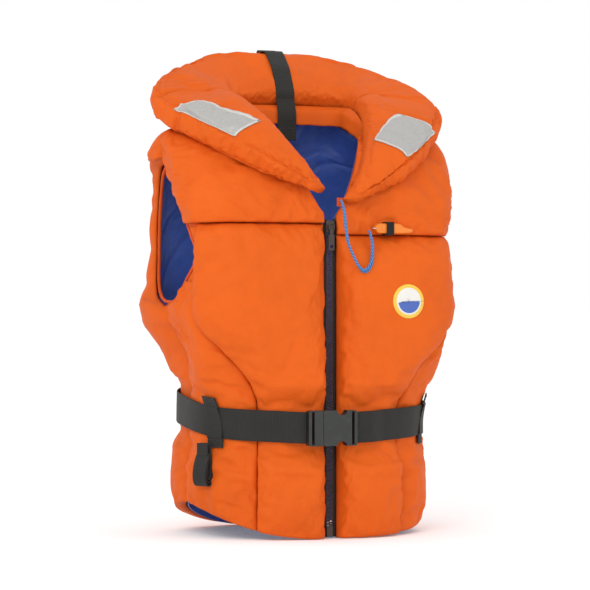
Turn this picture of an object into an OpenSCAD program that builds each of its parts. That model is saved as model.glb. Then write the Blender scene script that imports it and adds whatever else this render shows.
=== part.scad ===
// Foam life jacket: padded vest with a stuffed horseshoe collar, front zip, belt and side release buckle.
// Millimetres. The jacket stands on its hem, its front faces -Y, and the wearer's right side is -X.

/* [Body] */
// Width across the chest, between the lining's inner faces
chest_w = 350; // [300:2:440]
// Width across the waist, between the lining's inner faces
waist_w = 276; // [240:2:360]
// Depth of the front half, from the middle plane to the lining
front_d = 104; // [85:1:130]
// Depth of the back half, from the middle plane to the lining
back_d = 106; // [85:1:130]
// Height of the shoulder line above the hem
shoulder_z = 508; // [460:2:560]
// Height at which the body starts to close over the shoulders
chest_z = 380; // [340:2:410]
// Height of the bottom of the V neck
neck_z = 412; // [405:1:430]
// Half the width of the neck at the shoulder line
neck_half_w = 84; // [70:1:100]
// How far the back panel rises behind the neck
neck_rise = 36; // [24:1:40]
// Distance of the back of the neck behind the middle plane
neck_back = 52; // [40:1:65]
// How far the hem arches up at the right side
right_hem_rise = 42; // [20:1:60]
// How far the hem arches up at the left side
left_hem_rise = 14; // [8:1:60]
// How far the sides tuck in under the armholes
side_tuck = 22; // [0:1:30]

/* [Armholes] */
// Height of the bottom of the armhole
armhole_z = 297; // [270:1:310]
// Height of the top of the armhole
armhole_top_z = 484; // [450:1:490]
// Angle from the side to the armhole's front edge, about the body's axis
armhole_front_a = 27; // [20:1:32]
// Angle from the side to the armhole's back edge, about the body's axis
armhole_back_a = 24; // [18:1:30]

/* [Foam and fabric] */
// Thickness of the front foam
front_foam_t = 31; // [20:1:40]
// Thickness of the back foam
back_foam_t = 27; // [18:1:40]
// Thickness of the padding at the sides and on the yoke
side_foam_t = 14; // [10:1:16]
// Thickness of the foam where the belt pulls it in
belt_foam_t = 14; // [10:1:18]
// Thickness of the padding at the sewn edges
edge_foam_t = 3; // [2.5:0.5:5]
// Thickness of the outer fabric
cover_t = 1.6; // [1:0.1:2]
// Thickness of the lining
lining_t = 1.6; // [1:0.1:2]
// Distance from the middle of the front to the sewn edge of each front half
front_gap = 9; // [8:0.5:14]
// Height of the seam over the right foam panel
right_seam_z = 400; // [390:1:404]
// Height of the seam over the left foam panel
left_seam_z = 386; // [375:1:404]

/* [Collar] */
// Thickness of the stuffed collar
collar_t = 44; // [34:1:50]
// Height of the top of the collar behind the head
collar_z = 634; // [600:1:650]
// Half the width of the collar at the shoulders
collar_half_w = 202; // [190:1:212]
// Distance of the collar's top edge behind the middle plane
collar_back = 132; // [120:1:145]

/* [Zip] */
// Width of each row of teeth
teeth_w = 2.6; // [2:0.1:3.2]
// Thickness of the teeth
teeth_t = 3; // [2.4:0.1:3.4]
// Thickness of the fabric tape
tape_t = 1; // [0.8:0.1:1.2]
// Height of the slider at the top of its travel
slider_z = 390; // [380:1:392]
// Length of the slider
slider_l = 15; // [12:0.5:18]
// Length of the pull tab
pull_l = 30; // [24:1:34]

/* [Belt and buckle] */
// Width of the belt webbing
belt_w = 40; // [30:1:42]
// Thickness of the webbing
web_t = 1.6; // [1.2:0.1:2]
// Height of the middle of the belt at the front
belt_z = 141; // [130:1:150]
// How much higher the belt runs at the back
belt_rise = 36; // [20:1:50]
// How far the buckle reaches past each edge of the webbing
buckle_side = 2.5; // [2:0.25:4]
// Thickness of the buckle
buckle_t = 13; // [12:0.5:15]
// Length of the socket half
socket_l = 46; // [44:0.5:50]
// Length of the visible end of the plug half
plug_l = 20; // [18:0.5:24]
// Clearance between the plug and the socket
buckle_fit = 0.5; // [0.4:0.05:0.8]
// Width of each belt loop
loop_w = 24; // [18:1:28]

/* [Whistle] */
// Length of the whistle
whistle_l = 54; // [46:1:60]
// Height of the whistle
whistle_h = 15; // [12:0.5:17]
// Thickness of the whistle
whistle_t = 11; // [9:0.5:12]
// Diameter of the lanyard cord
cord_d = 3.4; // [3:0.1:3.8]

/* [Hidden] */
$fn = 48;

orange = "#e05a1c";
lining_blue = "#2c4a9c";
foam_white = "#e8e4da";
black = "#26282a";
reflective = "#c4c6c4";
cord_blue = "#3f7fc0";

// ---- numbers that several parts share ----
ease = 0.4;              // gap between neighbouring solids
waist_square = 2.6;      // how square the body is at the waist, as a superellipse's power
chest_square = 5;        // the same at the armholes
cap_h = shoulder_z - chest_z;
cap_len = cap_h * PI / 2;
belt_half = belt_w / 2;
buckle_w = belt_w + 2 * buckle_side;
cinch_half = buckle_w / 2 + 3;
lining_gap = 1.6;        // loose fit of the lining inside the padding
cover_in = lining_t + lining_gap;

// ---- small helpers ----
function mix(a, b, t) = a + (b - a) * t;
function clamp01(t) = min(1, max(0, t));
function smooth(t) = let (s = clamp01(t)) s * s * (3 - 2 * s);
function unit(v) = v / max(norm(v), 1e-9);
function deg(r) = r * 180 / PI;

// ---- the body's inner surface: a is the angle from the front, h the height measured along the surface ----
hem_flare = 6;
function bump(t) = pow(max(0, 4 * t * (1 - t)), 1.5);
function half_w(a, h) =
    let (t = (h - belt_z) / (armhole_z - belt_z))
    waist_w / 2 + (chest_w - waist_w) / 2 * smooth(t) + hem_flare * smooth((belt_z - h) / belt_z)
    - side_tuck * bump(pow(clamp01(t), 1.5)) * (cos(a) < 0 ? 1 : smooth((abs(sin(a)) - 0.86) / 0.14));
$hem_rise = left_hem_rise;
function hem_rise(a) = sin(a) < 0 ? right_hem_rise : $hem_rise;
function depth(a) = cos(a) > 0 ? front_d : back_d;
function square_n(a, h) = mix(waist_square, chest_square,
    smooth(cos(a) > 0 ? (h - belt_z) / (armhole_z - belt_z) : (h - belt_z - 60) / (armhole_z - belt_z - 50)));
function cap_a(h) = clamp01((h - chest_z) / cap_len) * 90;
function height_at(z) = z <= chest_z ? z : chest_z + cap_len * asin((z - chest_z) / cap_h) / 90;
function belt_mid(a) = belt_z + belt_rise * (1 - cos(a)) / 2;
function back_part(x, a) = cos(a) > 0 ? 0 : smooth((neck_half_w + 25 - abs(x)) / 55);

function base(a, h) =
    let (
        w = half_w(a, h),
        d = depth(a),
        n = square_n(a, h),
        f = pow(abs(tan(a)) * d / w, n / 2),
        p = abs(cos(a)) < 1e-6 ? 90 : atan(f),
        x = w * pow(sin(p), 2 / n) * (sin(a) < 0 ? -1 : 1),
        y0 = d * pow(cos(p), 2 / n),
        b = back_part(x, a),
        c = cap_a(h),
        y = mix(neck_back * b, y0, cos(c)),
        lift = hem_rise(a) * pow(sin(a), 4) * clamp01(1 - h / (belt_z * 0.8))
    )
    [x, cos(a) > 0 ? -y : y, min(h, chest_z) + (cap_h + neck_rise * b) * sin(c) + lift];

function outward(a, h) =
    let (
        e = 0.5,
        h0 = min(h, chest_z + cap_len - 2),
        du = base(a + e, h0) - base(a - e, h0),
        dv = base(a, h0 + e) - base(a, max(0, h0 - e))
    )
    unit(cross(du, dv));
function skin(a, h, off) = base(a, h) + outward(a, h) * off;
function a_of_x(x) = atan(x / front_d);

// ---- closed solids from grids of points: rows run up, columns run anticlockwise seen from above ----
// even: the quads of the second half are cut along their other diagonal, so that both halves match
module slab(inner, outer, even = false) {
    nv = len(outer);
    nu = len(outer[0]);
    count = nu * nv;
    all = concat([for (r = outer) each r], [for (r = inner) each r]);
    id = function (j, i, k) k * count + j * nu + i;
    turned = function (i) even && i >= (nu - 1) / 2;
    quad = function (p, q, r, s, turn = false) turn ? [[q, r, s], [q, s, p]] : [[p, q, r], [p, r, s]];
    skin_faces = [for (j = [0:nv - 2], i = [0:nu - 2]) each concat(
        quad(id(j, i, 0), id(j + 1, i, 0), id(j + 1, i + 1, 0), id(j, i + 1, 0), turned(i)),
        quad(id(j, i, 1), id(j, i + 1, 1), id(j + 1, i + 1, 1), id(j + 1, i, 1), turned(i)))];
    ends = [for (i = [0:nu - 2]) each concat(
        quad(id(0, i, 0), id(0, i + 1, 0), id(0, i + 1, 1), id(0, i, 1)),
        quad(id(nv - 1, i, 0), id(nv - 1, i, 1), id(nv - 1, i + 1, 1), id(nv - 1, i + 1, 0)))];
    sides = [for (j = [0:nv - 2]) each concat(
        quad(id(j, 0, 0), id(j, 0, 1), id(j + 1, 0, 1), id(j + 1, 0, 0)),
        quad(id(j, nu - 1, 0), id(j + 1, nu - 1, 0), id(j + 1, nu - 1, 1), id(j, nu - 1, 1)))];
    polyhedron(all, concat(skin_faces, ends, sides), convexity = 8);
}

// A solid along a list of closed rings, with flat ends or joined end to start
module sweep(rings, closed = false) {
    n = len(rings[0]);
    m = len(rings);
    last = closed ? m - 1 : m - 2;
    walls = [for (k = [0:last], i = [0:n - 1])
        let (k2 = (k + 1) % m, i2 = (i + 1) % n)
        each [[k * n + i, k2 * n + i, k2 * n + i2], [k * n + i, k2 * n + i2, k * n + i2]]];
    caps = closed ? [] : [[for (i = [0:n - 1]) i], [for (i = [0:n - 1]) m * n - 1 - i]];
    polyhedron([for (r = rings) each r], concat(walls, caps), convexity = 8);
}

function tangent(path, k, closed) =
    let (m = len(path))
    closed ? unit(path[(k + 1) % m] - path[(k + m - 1) % m])
           : unit(path[min(k + 1, m - 1)] - path[max(k - 1, 0)]);
function tube_rings(path, d, sides, closed = false) = [
    for (k = [0:len(path) - 1])
        let (
            t = tangent(path, k, closed),
            s = unit(cross(abs(t.z) > 0.9 ? [0, 1, 0] : [0, 0, 1], t)),
            u = cross(t, s)
        )
        [for (i = [0:sides - 1]) path[k] + d / 2 * (cos(i * 360 / sides) * s + sin(i * 360 / sides) * u)]];

// A smooth curve through a list of points, and its value at t from 0 to 1
function curve_at(pts, t) =
    let (
        n = len(pts) - 1,
        k = min(n - 1, floor(t * n)),
        s = t * n - k,
        p1 = pts[k],
        p2 = pts[k + 1],
        p0 = k > 0 ? pts[k - 1] : 2 * p1 - p2,
        p3 = k < n - 1 ? pts[k + 2] : 2 * p2 - p1
    )
    0.5 * (2 * p1 + (p2 - p0) * s + (2 * p0 - 5 * p1 + 4 * p2 - p3) * s * s
        + (3 * p1 - p0 - 3 * p2 + p3) * s * s * s);

// ---- the rows that all panels share ----
below = 3;
waist_rows = 4;
arm_rows = 4;
top_rows = 3;
row_arm = below + 2 + waist_rows;
row_seam = row_arm + arm_rows;
row_arm_top = row_seam + arm_rows;
row_top = row_arm_top + top_rows;
arm_top_h = height_at(armhole_top_z);
function row_h(j, a, seam) =
    let (
        lo = belt_mid(a) - cinch_half,
        hi = belt_mid(a) + cinch_half,
        seam_h = height_at(seam)
    )
    j <= below ? lo * j / below
    : j == below + 1 ? belt_mid(a)
    : j <= row_arm ? mix(hi, armhole_z, (j - below - 2) / waist_rows)
    : j <= row_seam ? mix(armhole_z, seam_h, (1 - cos((j - row_arm) * 90 / arm_rows)))
    : j <= row_arm_top ? mix(seam_h, arm_top_h, sin((j - row_seam) * 90 / arm_rows))
    : mix(arm_top_h, chest_z + cap_len - ease, (j - row_arm_top) / top_rows);

// ---- edges of the panels, as angles ----
function arm_t(j, seam) = (row_h(j, 90, seam) - armhole_z) / (arm_top_h - armhole_z);
function arm_front(j, seam) =
    let (t = arm_t(j, seam))
    j <= row_arm || j >= row_arm_top ? 0
    : armhole_front_a * pow(clamp01(t / 0.3), 0.5) * pow(clamp01((1 - t) / 0.72), 0.8);
function arm_back(j, seam) =
    let (t = arm_t(j, seam))
    j <= row_arm || j >= row_arm_top ? 0
    : armhole_back_a * pow(max(0, 1 - pow(abs(1 - 2 * t), 3)), 1 / 3);
seam_low_a = 45;
seam_high_a = 91 - armhole_front_a;
function pillow_side(j, seam) = mix(seam_low_a, seam_high_a, smooth((j - below - 2) / waist_rows));
function front_side(j, seam) = min(pillow_side(j, seam), 90 - arm_front(j, seam));
function neck_x(j, seam) =
    let (
        h = row_h(j, 0, seam),
        top = chest_z + cap_len,
        t = clamp01((h - neck_z) / (top - neck_z))
    )
    front_gap + (neck_half_w - front_gap) * pow(t, 0.8);

// ---- thickness of the padding ----
function cinch(a, h, full) =
    mix(belt_foam_t, full, smooth((abs(h - belt_mid(a)) - cinch_half) / 34));
function rim(t) = pow(max(0, 1 - pow(abs(2 * t - 1), 5)), 0.55);
function pillow_t(u, j, a, seam) =
    let (
        h = row_h(j, a, seam),
        v = h / height_at(seam)
    )
    mix(edge_foam_t, min(front_foam_t, cinch(a, h, front_foam_t)),
        rim(mix(0, 0.97, u)) * rim(mix(0.04, 1, v)));
function side_t(u, j, a, seam) =
    mix(edge_foam_t, min(side_foam_t, belt_foam_t),
        rim(mix(0.02, 0.98, u)) * rim(mix(0.03, 0.97, row_h(j, a, seam) / armhole_z)));
function yoke_t(u, v) = mix(edge_foam_t, side_foam_t, rim(mix(0.1, 0.985, u)) * rim(mix(0.02, 0.8, v)));
function back_t(u, j, a) =
    let (h = row_h(j, a, right_seam_z))
    edge_foam_t + (min(back_foam_t, cinch(a, h, back_foam_t)) - edge_foam_t)
        * rim(u) * rim(mix(0.04, 0.99, h / (chest_z + cap_len)));

// ---- grids: thick(u, j, a) gives the offset of each point from the inner surface ----
function grid(rows, cols, lo, hi, seam, thick) = [
    for (j = rows) [
        for (i = [0:cols])
            let (
                u = i / cols,
                a = mix(lo(j), hi(j), u)
            )
            skin(a, row_h(j, a, seam), thick(u, j, a))]];

module panel(rows, cols, lo, hi, seam, inner, outer, even = false) {
    slab(grid(rows, cols, lo, hi, seam, inner), grid(rows, cols, lo, hi, seam, outer), even);
}

module on_right() {
    $hem_rise = right_hem_rise;
    mirror([1, 0, 0]) children();
}

// ---- front halves, drawn on the left and mirrored for the right ----
front_rows = [0:row_seam];
yoke_rows = [for (j = [row_seam:row_top]) max(j, row_seam + 0.03)];
gusset_rows = [0:row_arm + 2];

module front_lining(seam, sag) {
    color(lining_blue) difference() {
        panel([0:row_top], 11,
            function (j) a_of_x(j < row_seam ? front_gap : neck_x(j, seam)),
            function (j) 90 - arm_front(j, seam) - 0.2,
            seam, function (u, j, a) 0, function (u, j, a) lining_t);
        lapel_room(sag);
    }
}

module front_piece(seam, shade, inner, outer) {
    color(shade)
        panel(front_rows, 9,
            function (j) a_of_x(front_gap),
            function (j) front_side(j, seam) - 0.2,
            seam, inner, outer);
}
module front_foam(seam) {
    front_piece(seam, foam_white,
        function (u, j, a) cover_in + ease,
        function (u, j, a) cover_in + pillow_t(u, j, a, seam) - ease);
}
module front_cover(seam) {
    front_piece(seam, orange,
        function (u, j, a) cover_in + pillow_t(u, j, a, seam),
        function (u, j, a) cover_in + pillow_t(u, j, a, seam) + cover_t);
}
module side_gusset(seam) {
    color(orange)
        panel(gusset_rows, 8,
            function (j) front_side(j, seam) + 0.2,
            function (j) max(front_side(j, seam) + 2, 90 - arm_front(j, seam) - 0.2),
            seam,
            function (u, j, a) cover_in + 4 * ease,
            function (u, j, a) cover_in + side_t(u, j, a, seam) + cover_t);
}
module yoke(seam, sag) {
    color(orange) difference() {
        panel(yoke_rows, 11,
            function (j) a_of_x(neck_x(j, seam)),
            function (j) 90 - arm_front(j, seam) - 0.2,
            seam,
            function (u, j, a) cover_in + ease,
            function (u, j, a) cover_in + cover_t + yoke_t(u, (j - row_seam) / (row_top - row_seam)));
        lapel_room(sag);
    }
}

// ---- back ----
back_rows = [for (j = [0:row_top]) each j == row_arm_top - 1 ? [j, j + 0.5] : [j]];
module back_piece(shade, inner, outer) {
    color(shade)
        panel(back_rows, 18,
            function (j) 90 + arm_back(j, right_seam_z) + 0.2,
            function (j) 270 - arm_back(j, right_seam_z) - 0.2,
            right_seam_z, inner, outer, true);
}
module back_lining() {
    back_piece(lining_blue, function (u, j, a) 0, function (u, j, a) lining_t);
}
module back_foam() {
    difference() {
        back_piece(foam_white,
            function (u, j, a) cover_in + 3 * ease,
            function (u, j, a) cover_in + back_t(u, j, a) - 4 * ease);
        collar_room();
    }
}
module back_cover() {
    difference() {
        back_piece(orange,
            function (u, j, a) cover_in + back_t(u, j, a),
            function (u, j, a) cover_in + back_t(u, j, a) + cover_t);
        collar_room();
    }
}

// Fabric binding sewn round the armhole's rim, just inside the opening
binding_d = 5;
module armhole_binding(seam) {
    rim_points = concat(
        [for (j = [row_arm:row_arm_top]) skin(90 - arm_front(j, seam), row_h(j, 90, seam), lining_t)],
        [for (j = [row_arm_top - 1:-1:row_arm + 1])
            skin(90 + arm_back(j, seam), row_h(j, 90, seam), lining_t)]);
    middle = [rim_points[0].x, 0, (armhole_z + armhole_top_z) / 2];
    path = [for (p = rim_points) p + unit(middle - p) * (binding_d / 2 + 3 * ease)];
    color(orange) sweep(tube_rings(path, binding_d, 8, true), true);
}

// ---- collar: a stuffed horseshoe given by its inner and outer edge, from the front tip to the back ----
inner_edge = [
    [14, -124, 443], [36, -112, 474], [62, -76, 516], [78, -34, 546],
    [84, 8, 560], [80, 36, 564], [52, 54, 566], [0, 60, 567],
];
outer_edge = [
    [34, -134, 448], [80, -128, 468], [128, -104, 494], [176, -58, 526],
    [collar_half_w, -6, 552], [collar_half_w - 26, 54, 588],
    [collar_half_w * 0.46, collar_back - 14, collar_z - 10], [0, collar_back, collar_z],
];
half_t = [6, 15, collar_t / 2 - 2, collar_t / 2, collar_t / 2, collar_t / 2, collar_t / 2, collar_t / 2];
section_s = [for (half = [4, 184], j = [0:8]) mix(half, half + 172, j / 8)];
fold_t = 0.585;          // where along the horseshoe the back part starts
function collar_frame(t) =
    let (
        p = curve_at(inner_edge, t),
        q = curve_at(outer_edge, t),
        e = 0.01,
        mid = (p + q) / 2,
        t0 = max(0, t - e),
        t1 = min(1, t + e),
        along = unit(curve_at(inner_edge, t1) + curve_at(outer_edge, t1)
            - curve_at(inner_edge, t0) - curve_at(outer_edge, t0)),
        across = q - p
    )
    [mid, across / 2, unit(cross(across, along)) * curve_at([for (v = half_t) [v, 0, 0]], t).x];
// Point of the collar's skin: s runs round the section from the inner edge (0) over the top to the outer one
function collar_skin(t, s, shrink) =
    let (
        f = collar_frame(t),
        k = function (v) sign(v) * pow(abs(v), 0.62),
        w = norm(f[1]),
        n = norm(f[2])
    )
    f[0] - f[1] * k(cos(s)) * (w - shrink) / w + f[2] * k(sin(s)) * (n - shrink) / n;
function lapel_point(t, s, shrink, sag) =
    narrow(collar_skin(t, s, shrink), sag > 0 ? left_narrow : 1)
        - [0, 0, sag * (1 - smooth((t - 0.25) / (fold_t - 0.25)))];
module collar_panel(t0, t1, cols, s0, s1, rows, sag) {
    make = function (shrink) [for (j = [0:rows]) [for (i = [0:cols])
        lapel_point(mix(t0, t1, i / cols), mix(s0, s1, j / rows), shrink, sag)]];
    slab(make(cover_t), make(0));
}
// The left side of the collar hangs a little lower and closer than the right one
left_sag = 13;
left_narrow = 0.97;
function narrow(p, k) = [p.x * k, p.y, p.z];
module lapel_top(sag) {
    color(orange) collar_panel(0, fold_t, 9, 176, 4, 8, sag);
}
module lapel_wall(sag) {
    color(orange) collar_panel(0, fold_t, 9, 356, 184, 8, sag);
}
module lapel_foam(sag) {
    color(foam_white)
        sweep([for (i = [0:9]) [for (s = [0:30:330])
            lapel_point(mix(0.02, fold_t - 0.005, i / 9), s, cover_t + 3 * ease, sag)]]);
}

// The back part runs from fold to fold; q goes from 0 at the left fold to 1 at the right one
function back_point(q, s, shrink) =
    let (
        t = mix(fold_t + 0.005, 1, 1 - abs(2 * q - 1)),
        p = collar_skin(t, s, shrink)
    )
    narrow(p, q > 0.5 ? -1 : left_narrow);
module back_panel(s0, s1) {
    make = function (shrink) [for (j = [0:8]) [for (i = [0:18])
        back_point(i / 18, mix(s0, s1, j / 8), shrink)]];
    color(orange) slab(make(cover_t), make(0));
}
module collar_inner_panel() {
    back_panel(176, 4);
}
module collar_outer_panel() {
    back_panel(356, 184);
}
module collar_foam() {
    color(foam_white)
        sweep([for (i = [0:18]) [for (s = [0:30:330]) back_point(i / 18, s, cover_t + 3 * ease)]]);
}

// Space that the collar takes up, which the panels under it leave free
module collar_room() {
    sweep([for (i = [0:18]) [for (s = section_s) back_point(i / 18, s, -3 * ease)]]);
}
module lapel_room(sag) {
    sweep([for (i = [0:9]) [for (s = section_s)
        lapel_point(mix(0, fold_t, i / 9), s, -3 * ease, sag)]]);
}

// Band of orange fabric between the collar and the lining, behind the neck
band_h = 26;
module neck_band() {
    ring = function (k, dz) [for (i = [0:16])
        let (p = back_point(mix(0.1, 0.9, i / 16), 0, 0))
        [p.x * k, p.y * k, p.z - 2 + dz]];
    inner = [ring(0.8, -band_h), ring(0.82, -8), ring(0.94, 0)];
    outer = [ring(0.82, -band_h), ring(0.84, -8), ring(0.96, 0)];
    color(orange) slab(inner, outer);
}

// Black strap sewn over the back of the collar and down to the lining
strap_w = 26;
strap_down = 50;
module collar_strap() {
    line = function (off) concat(
        [let (p = collar_skin(1, 0, 0)) [0, p.y - 13 - off, p.z - strap_down]],
        [let (p = collar_skin(1, 0, 0)) [0, p.y - 13 - off, p.z - 14]],
        [for (s = [10:20:170]) collar_skin(1, s, -off)]);
    rows = function (off) [for (p = line(off)) [for (x = [-1, 0, 1]) [x * strap_w / 2, p.y, p.z]]];
    color(black) slab(rows(1.4), rows(1.4 + web_t));
}

// Reflective tape on each lapel: its corners as the place along the horseshoe and the angle round the section
right_tape = [[0.30, 140], [0.48, 160], [0.48, 100], [0.30, 85]];
left_tape = [[0.245, 125], [0.405, 160], [0.415, 88], [0.27, 55]];
module reflective_tape(corners, sag) {
    place = function (u, v) mix(mix(corners[0], corners[1], u), mix(corners[3], corners[2], u), v);
    make = function (shrink) [for (j = [0:4]) [for (i = [0:6])
        let (p = place(i / 6, j / 4))
        lapel_point(p[0], p[1], shrink, sag)]];
    color(reflective) slab(make(-ease), make(-1.2));
}

// ---- zip ----
zip_y = -(front_d + 4);
teeth_gap = 1.7;
teeth_out = teeth_gap + teeth_w;
end_box_h = 14;
zip_top = neck_z - 5;
module box(lo, hi) {
    translate(lo) cube(hi - lo);
}
module zip_tape() {
    color(black) box([teeth_out, zip_y - tape_t / 2, 1], [front_gap - ease, zip_y + tape_t / 2, zip_top]);
}
module zip_teeth() {
    color(black)
        box([teeth_gap, zip_y - teeth_t / 2, end_box_h + ease], [teeth_out, zip_y + teeth_t / 2, zip_top]);
}
slider_w = 11;
slider_plate = 2;
lug_y = zip_y - teeth_t / 2 - ease - slider_plate - 3;
pin_d = 2;
module zip_slider() {
    front = zip_y - teeth_t / 2 - ease;
    rear = zip_y + teeth_t / 2 + ease;
    color(black) union() {
        box([-slider_w / 2, front - slider_plate, slider_z], [slider_w / 2, front, slider_z + slider_l]);
        box([-slider_w / 2, rear, slider_z], [slider_w / 2, rear + slider_plate, slider_z + slider_l]);
        box([-teeth_gap + ease, front, slider_z + slider_l / 2],
            [teeth_gap - ease, rear, slider_z + slider_l]);
        for (x = [-4, 2.6])
            box([x, lug_y - 2, slider_z + 4], [x + 1.4, front - slider_plate + 0.1, slider_z + 10]);
        translate([-3.4, lug_y, slider_z + 7]) rotate([0, 90, 0]) cylinder(d = pin_d, h = 6.8);
    }
}
module zip_pull_tab() {
    top = slider_z + 7;
    color(black) difference() {
        union() {
            box([-2.2, lug_y - 1, top - pull_l], [2.2, lug_y + 1, top]);
            box([-4, lug_y - 1, top - pull_l], [4, lug_y + 1, top - 10]);
            translate([-2.2, lug_y, top]) rotate([0, 90, 0]) cylinder(d = pin_d + 2, h = 4.4);
        }
        translate([-5, lug_y, top]) rotate([0, 90, 0]) cylinder(d = pin_d + 0.6, h = 10);
        box([-2, lug_y - 2, top - pull_l + 3], [2, lug_y + 2, top - pull_l + 7]);
    }
}
module zip_end_box() {
    color(black) box([-teeth_out, zip_y - 2.5, 0.5], [teeth_out - 0.2, zip_y + 2.5, end_box_h]);
}

// ---- belt ----
belt_gap = 1.8;          // slack between the belt and the cover
belt_off = cover_in + belt_foam_t + cover_t + belt_gap;
loop_a = 64;
seam_x = -19.5;
plug_end = seam_x - plug_l;
socket_end = seam_x + socket_l;
buckle_y = -(front_d + belt_off + web_t + buckle_t / 2);
function belt_lift(a) =
    let (x = abs(front_d * tan(a)))
    mix(belt_off, -buckle_y - front_d - web_t / 2, smooth((72 - x) / 28));
module belt_run(a0, a1, cols) {
    rows = function (off) [for (v = [-1, 0, 1]) [for (i = [0:cols])
        let (
            a = mix(a0, a1, i / cols),
            lift = cos(a) > 0 ? belt_lift(a) : belt_off
        )
        skin(a, belt_mid(a) + v * belt_half, lift + off)]];
    color(black) slab(rows(0), rows(web_t));
}
// Angle at which the belt's own surface reaches x
function belt_a(x) =
    let (a = a_of_x(x), p = skin(a, belt_mid(a), belt_lift(a)))
    a_of_x(2 * x - p.x);
module belt_back() {
    belt_run(loop_a, 360 - loop_a, 30);
}
module belt_front(x_end) {
    belt_run(belt_a(x_end), loop_a - 0.3, 14);
}
loop_end = 16;           // stitched part of a belt loop above and below the belt
loop_h = belt_w + 2 * loop_end;
module belt_loop() {
    rows = function (off) [for (v = [-1, -0.66, -0.6, 0, 0.6, 0.66, 1]) [for (i = [0:4])
        let (
            a = loop_a + deg(loop_w / 165) * (i / 4 - 0.5),
            lift = abs(v) < 0.65 ? belt_off + web_t + ease : belt_off
        )
        skin(a, belt_mid(a) + v * loop_h / 2, lift + off)]];
    color(black) slab(rows(0), rows(web_t));
}

// ---- buckle: the plug is on the wearer's right, the socket on the left ----
slot_w = 3.6;
bar_w = 4;
prong_pivot_x = seam_x + 2.4;
prong_z = 11;
prong_t = 6.4;
module rounded_plate(x0, x1, h, t, r) {
    translate([0, t / 2, 0]) rotate([90, 0, 0]) linear_extrude(t)
        hull() for (x = [x0 + r, x1 - r], z = [-h / 2 + r, h / 2 - r]) translate([x, z]) circle(r);
}
module at_buckle() {
    translate([0, buckle_y, belt_z]) children();
}
module buckle_socket() {
    cavity = prong_t + 2 * buckle_fit;
    color(black) at_buckle() difference() {
        rounded_plate(seam_x, socket_end, buckle_w, buckle_t, 3);
        box([seam_x - 1, -cavity / 2, -16], [seam_x + 32, cavity / 2, 16]);
        for (k = [-1, 1])
            translate([seam_x + 25, 0, k * (buckle_w / 2 + 1)]) rotate([90, 0, 0])
                cylinder(d = 14, h = buckle_t + 2, center = true);
        box([socket_end - bar_w - slot_w, -buckle_t, -belt_half - 1],
            [socket_end - bar_w, buckle_t, belt_half + 1]);
    }
}
module buckle_plug() {
    color(black) at_buckle() difference() {
        union() {
            rounded_plate(plug_end, seam_x - ease, buckle_w, buckle_t - 1, 3);
            box([seam_x - 2, -prong_t / 2, -3.4], [seam_x + 28, prong_t / 2, 3.4]);
        }
        box([plug_end + bar_w, -buckle_t, -belt_half - 1],
            [plug_end + bar_w + slot_w, buckle_t, belt_half + 1]);
    }
}
module buckle_prong() {
    color(black) at_buckle() union() {
        translate([prong_pivot_x, 0, prong_z]) rotate([90, 0, 0]) cylinder(d = 4, h = prong_t, center = true);
        box([prong_pivot_x, -prong_t / 2, prong_z - 2], [seam_x + 29, prong_t / 2, prong_z + 2]);
        box([seam_x + 19, -prong_t / 2, prong_z - 1], [seam_x + 29, prong_t / 2, 15.4]);
    }
}

// ---- spare webbing, folded up and hung under the right belt loop ----
bundle_w = 21;
bundle_pitch = 3.2;
bundle_l = 34;
bundle_folds = 4;
bundle_pin = 1.2;
fold_y = -1.5 * bundle_pitch - web_t / 2;   // the bundle's top fold, round the hanger's pin
fold_z = -3.6;
bundle_drop = loop_h / 2 + 10;
hang_out = outward(loop_a, belt_z);
hang_a = atan2(hang_out.x, -hang_out.y);
module at_bundle() {
    p = skin(loop_a + 4, belt_mid(loop_a) - bundle_drop, belt_off + 2.5);
    translate([p.x, p.y, p.z]) rotate([0, 0, hang_a]) children();
}
module strap_bundle() {
    r = bundle_pitch / 2;
    color(black) at_bundle() translate([0, 0, fold_z]) rotate([90, 0, 90])
        translate([0, 0, -bundle_w / 2]) linear_extrude(bundle_w)
        for (k = [0:bundle_folds - 1]) {
            translate([-k * bundle_pitch - web_t, -bundle_l]) square([web_t, bundle_l]);
            if (k < bundle_folds - 1)
                translate([-k * bundle_pitch - r - web_t / 2, k % 2 == 0 ? -bundle_l : 0])
                    intersection() {
                        difference() {
                            circle(r + web_t / 2);
                            circle(r - web_t / 2);
                        }
                        translate([-10, k % 2 == 0 ? -20 : 0]) square(20);
                    }
        }
}
// Stirrup whose pin runs through the bundle's top fold
module bundle_hanger() {
    half = bundle_w / 2 + 2 * ease;
    cheek = 1.4;
    top = fold_z + 8;
    color(black) at_bundle() union() {
        for (x = [-half - cheek, half])
            box([x, fold_y - 1.5, fold_z - 1.5], [x + cheek, fold_y + 1.5, top]);
        box([-half - cheek, fold_y - 1.5, top - web_t], [half + cheek, fold_y + 1.5, top]);
        box([-5, fold_y - 1.5, top - 0.1], [5, fold_y + 1.5, fold_z + 12]);
        translate([-half - cheek / 2, fold_y, fold_z]) rotate([0, 90, 0])
            cylinder(d = bundle_pin, h = 2 * half + cheek);
    }
}

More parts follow.
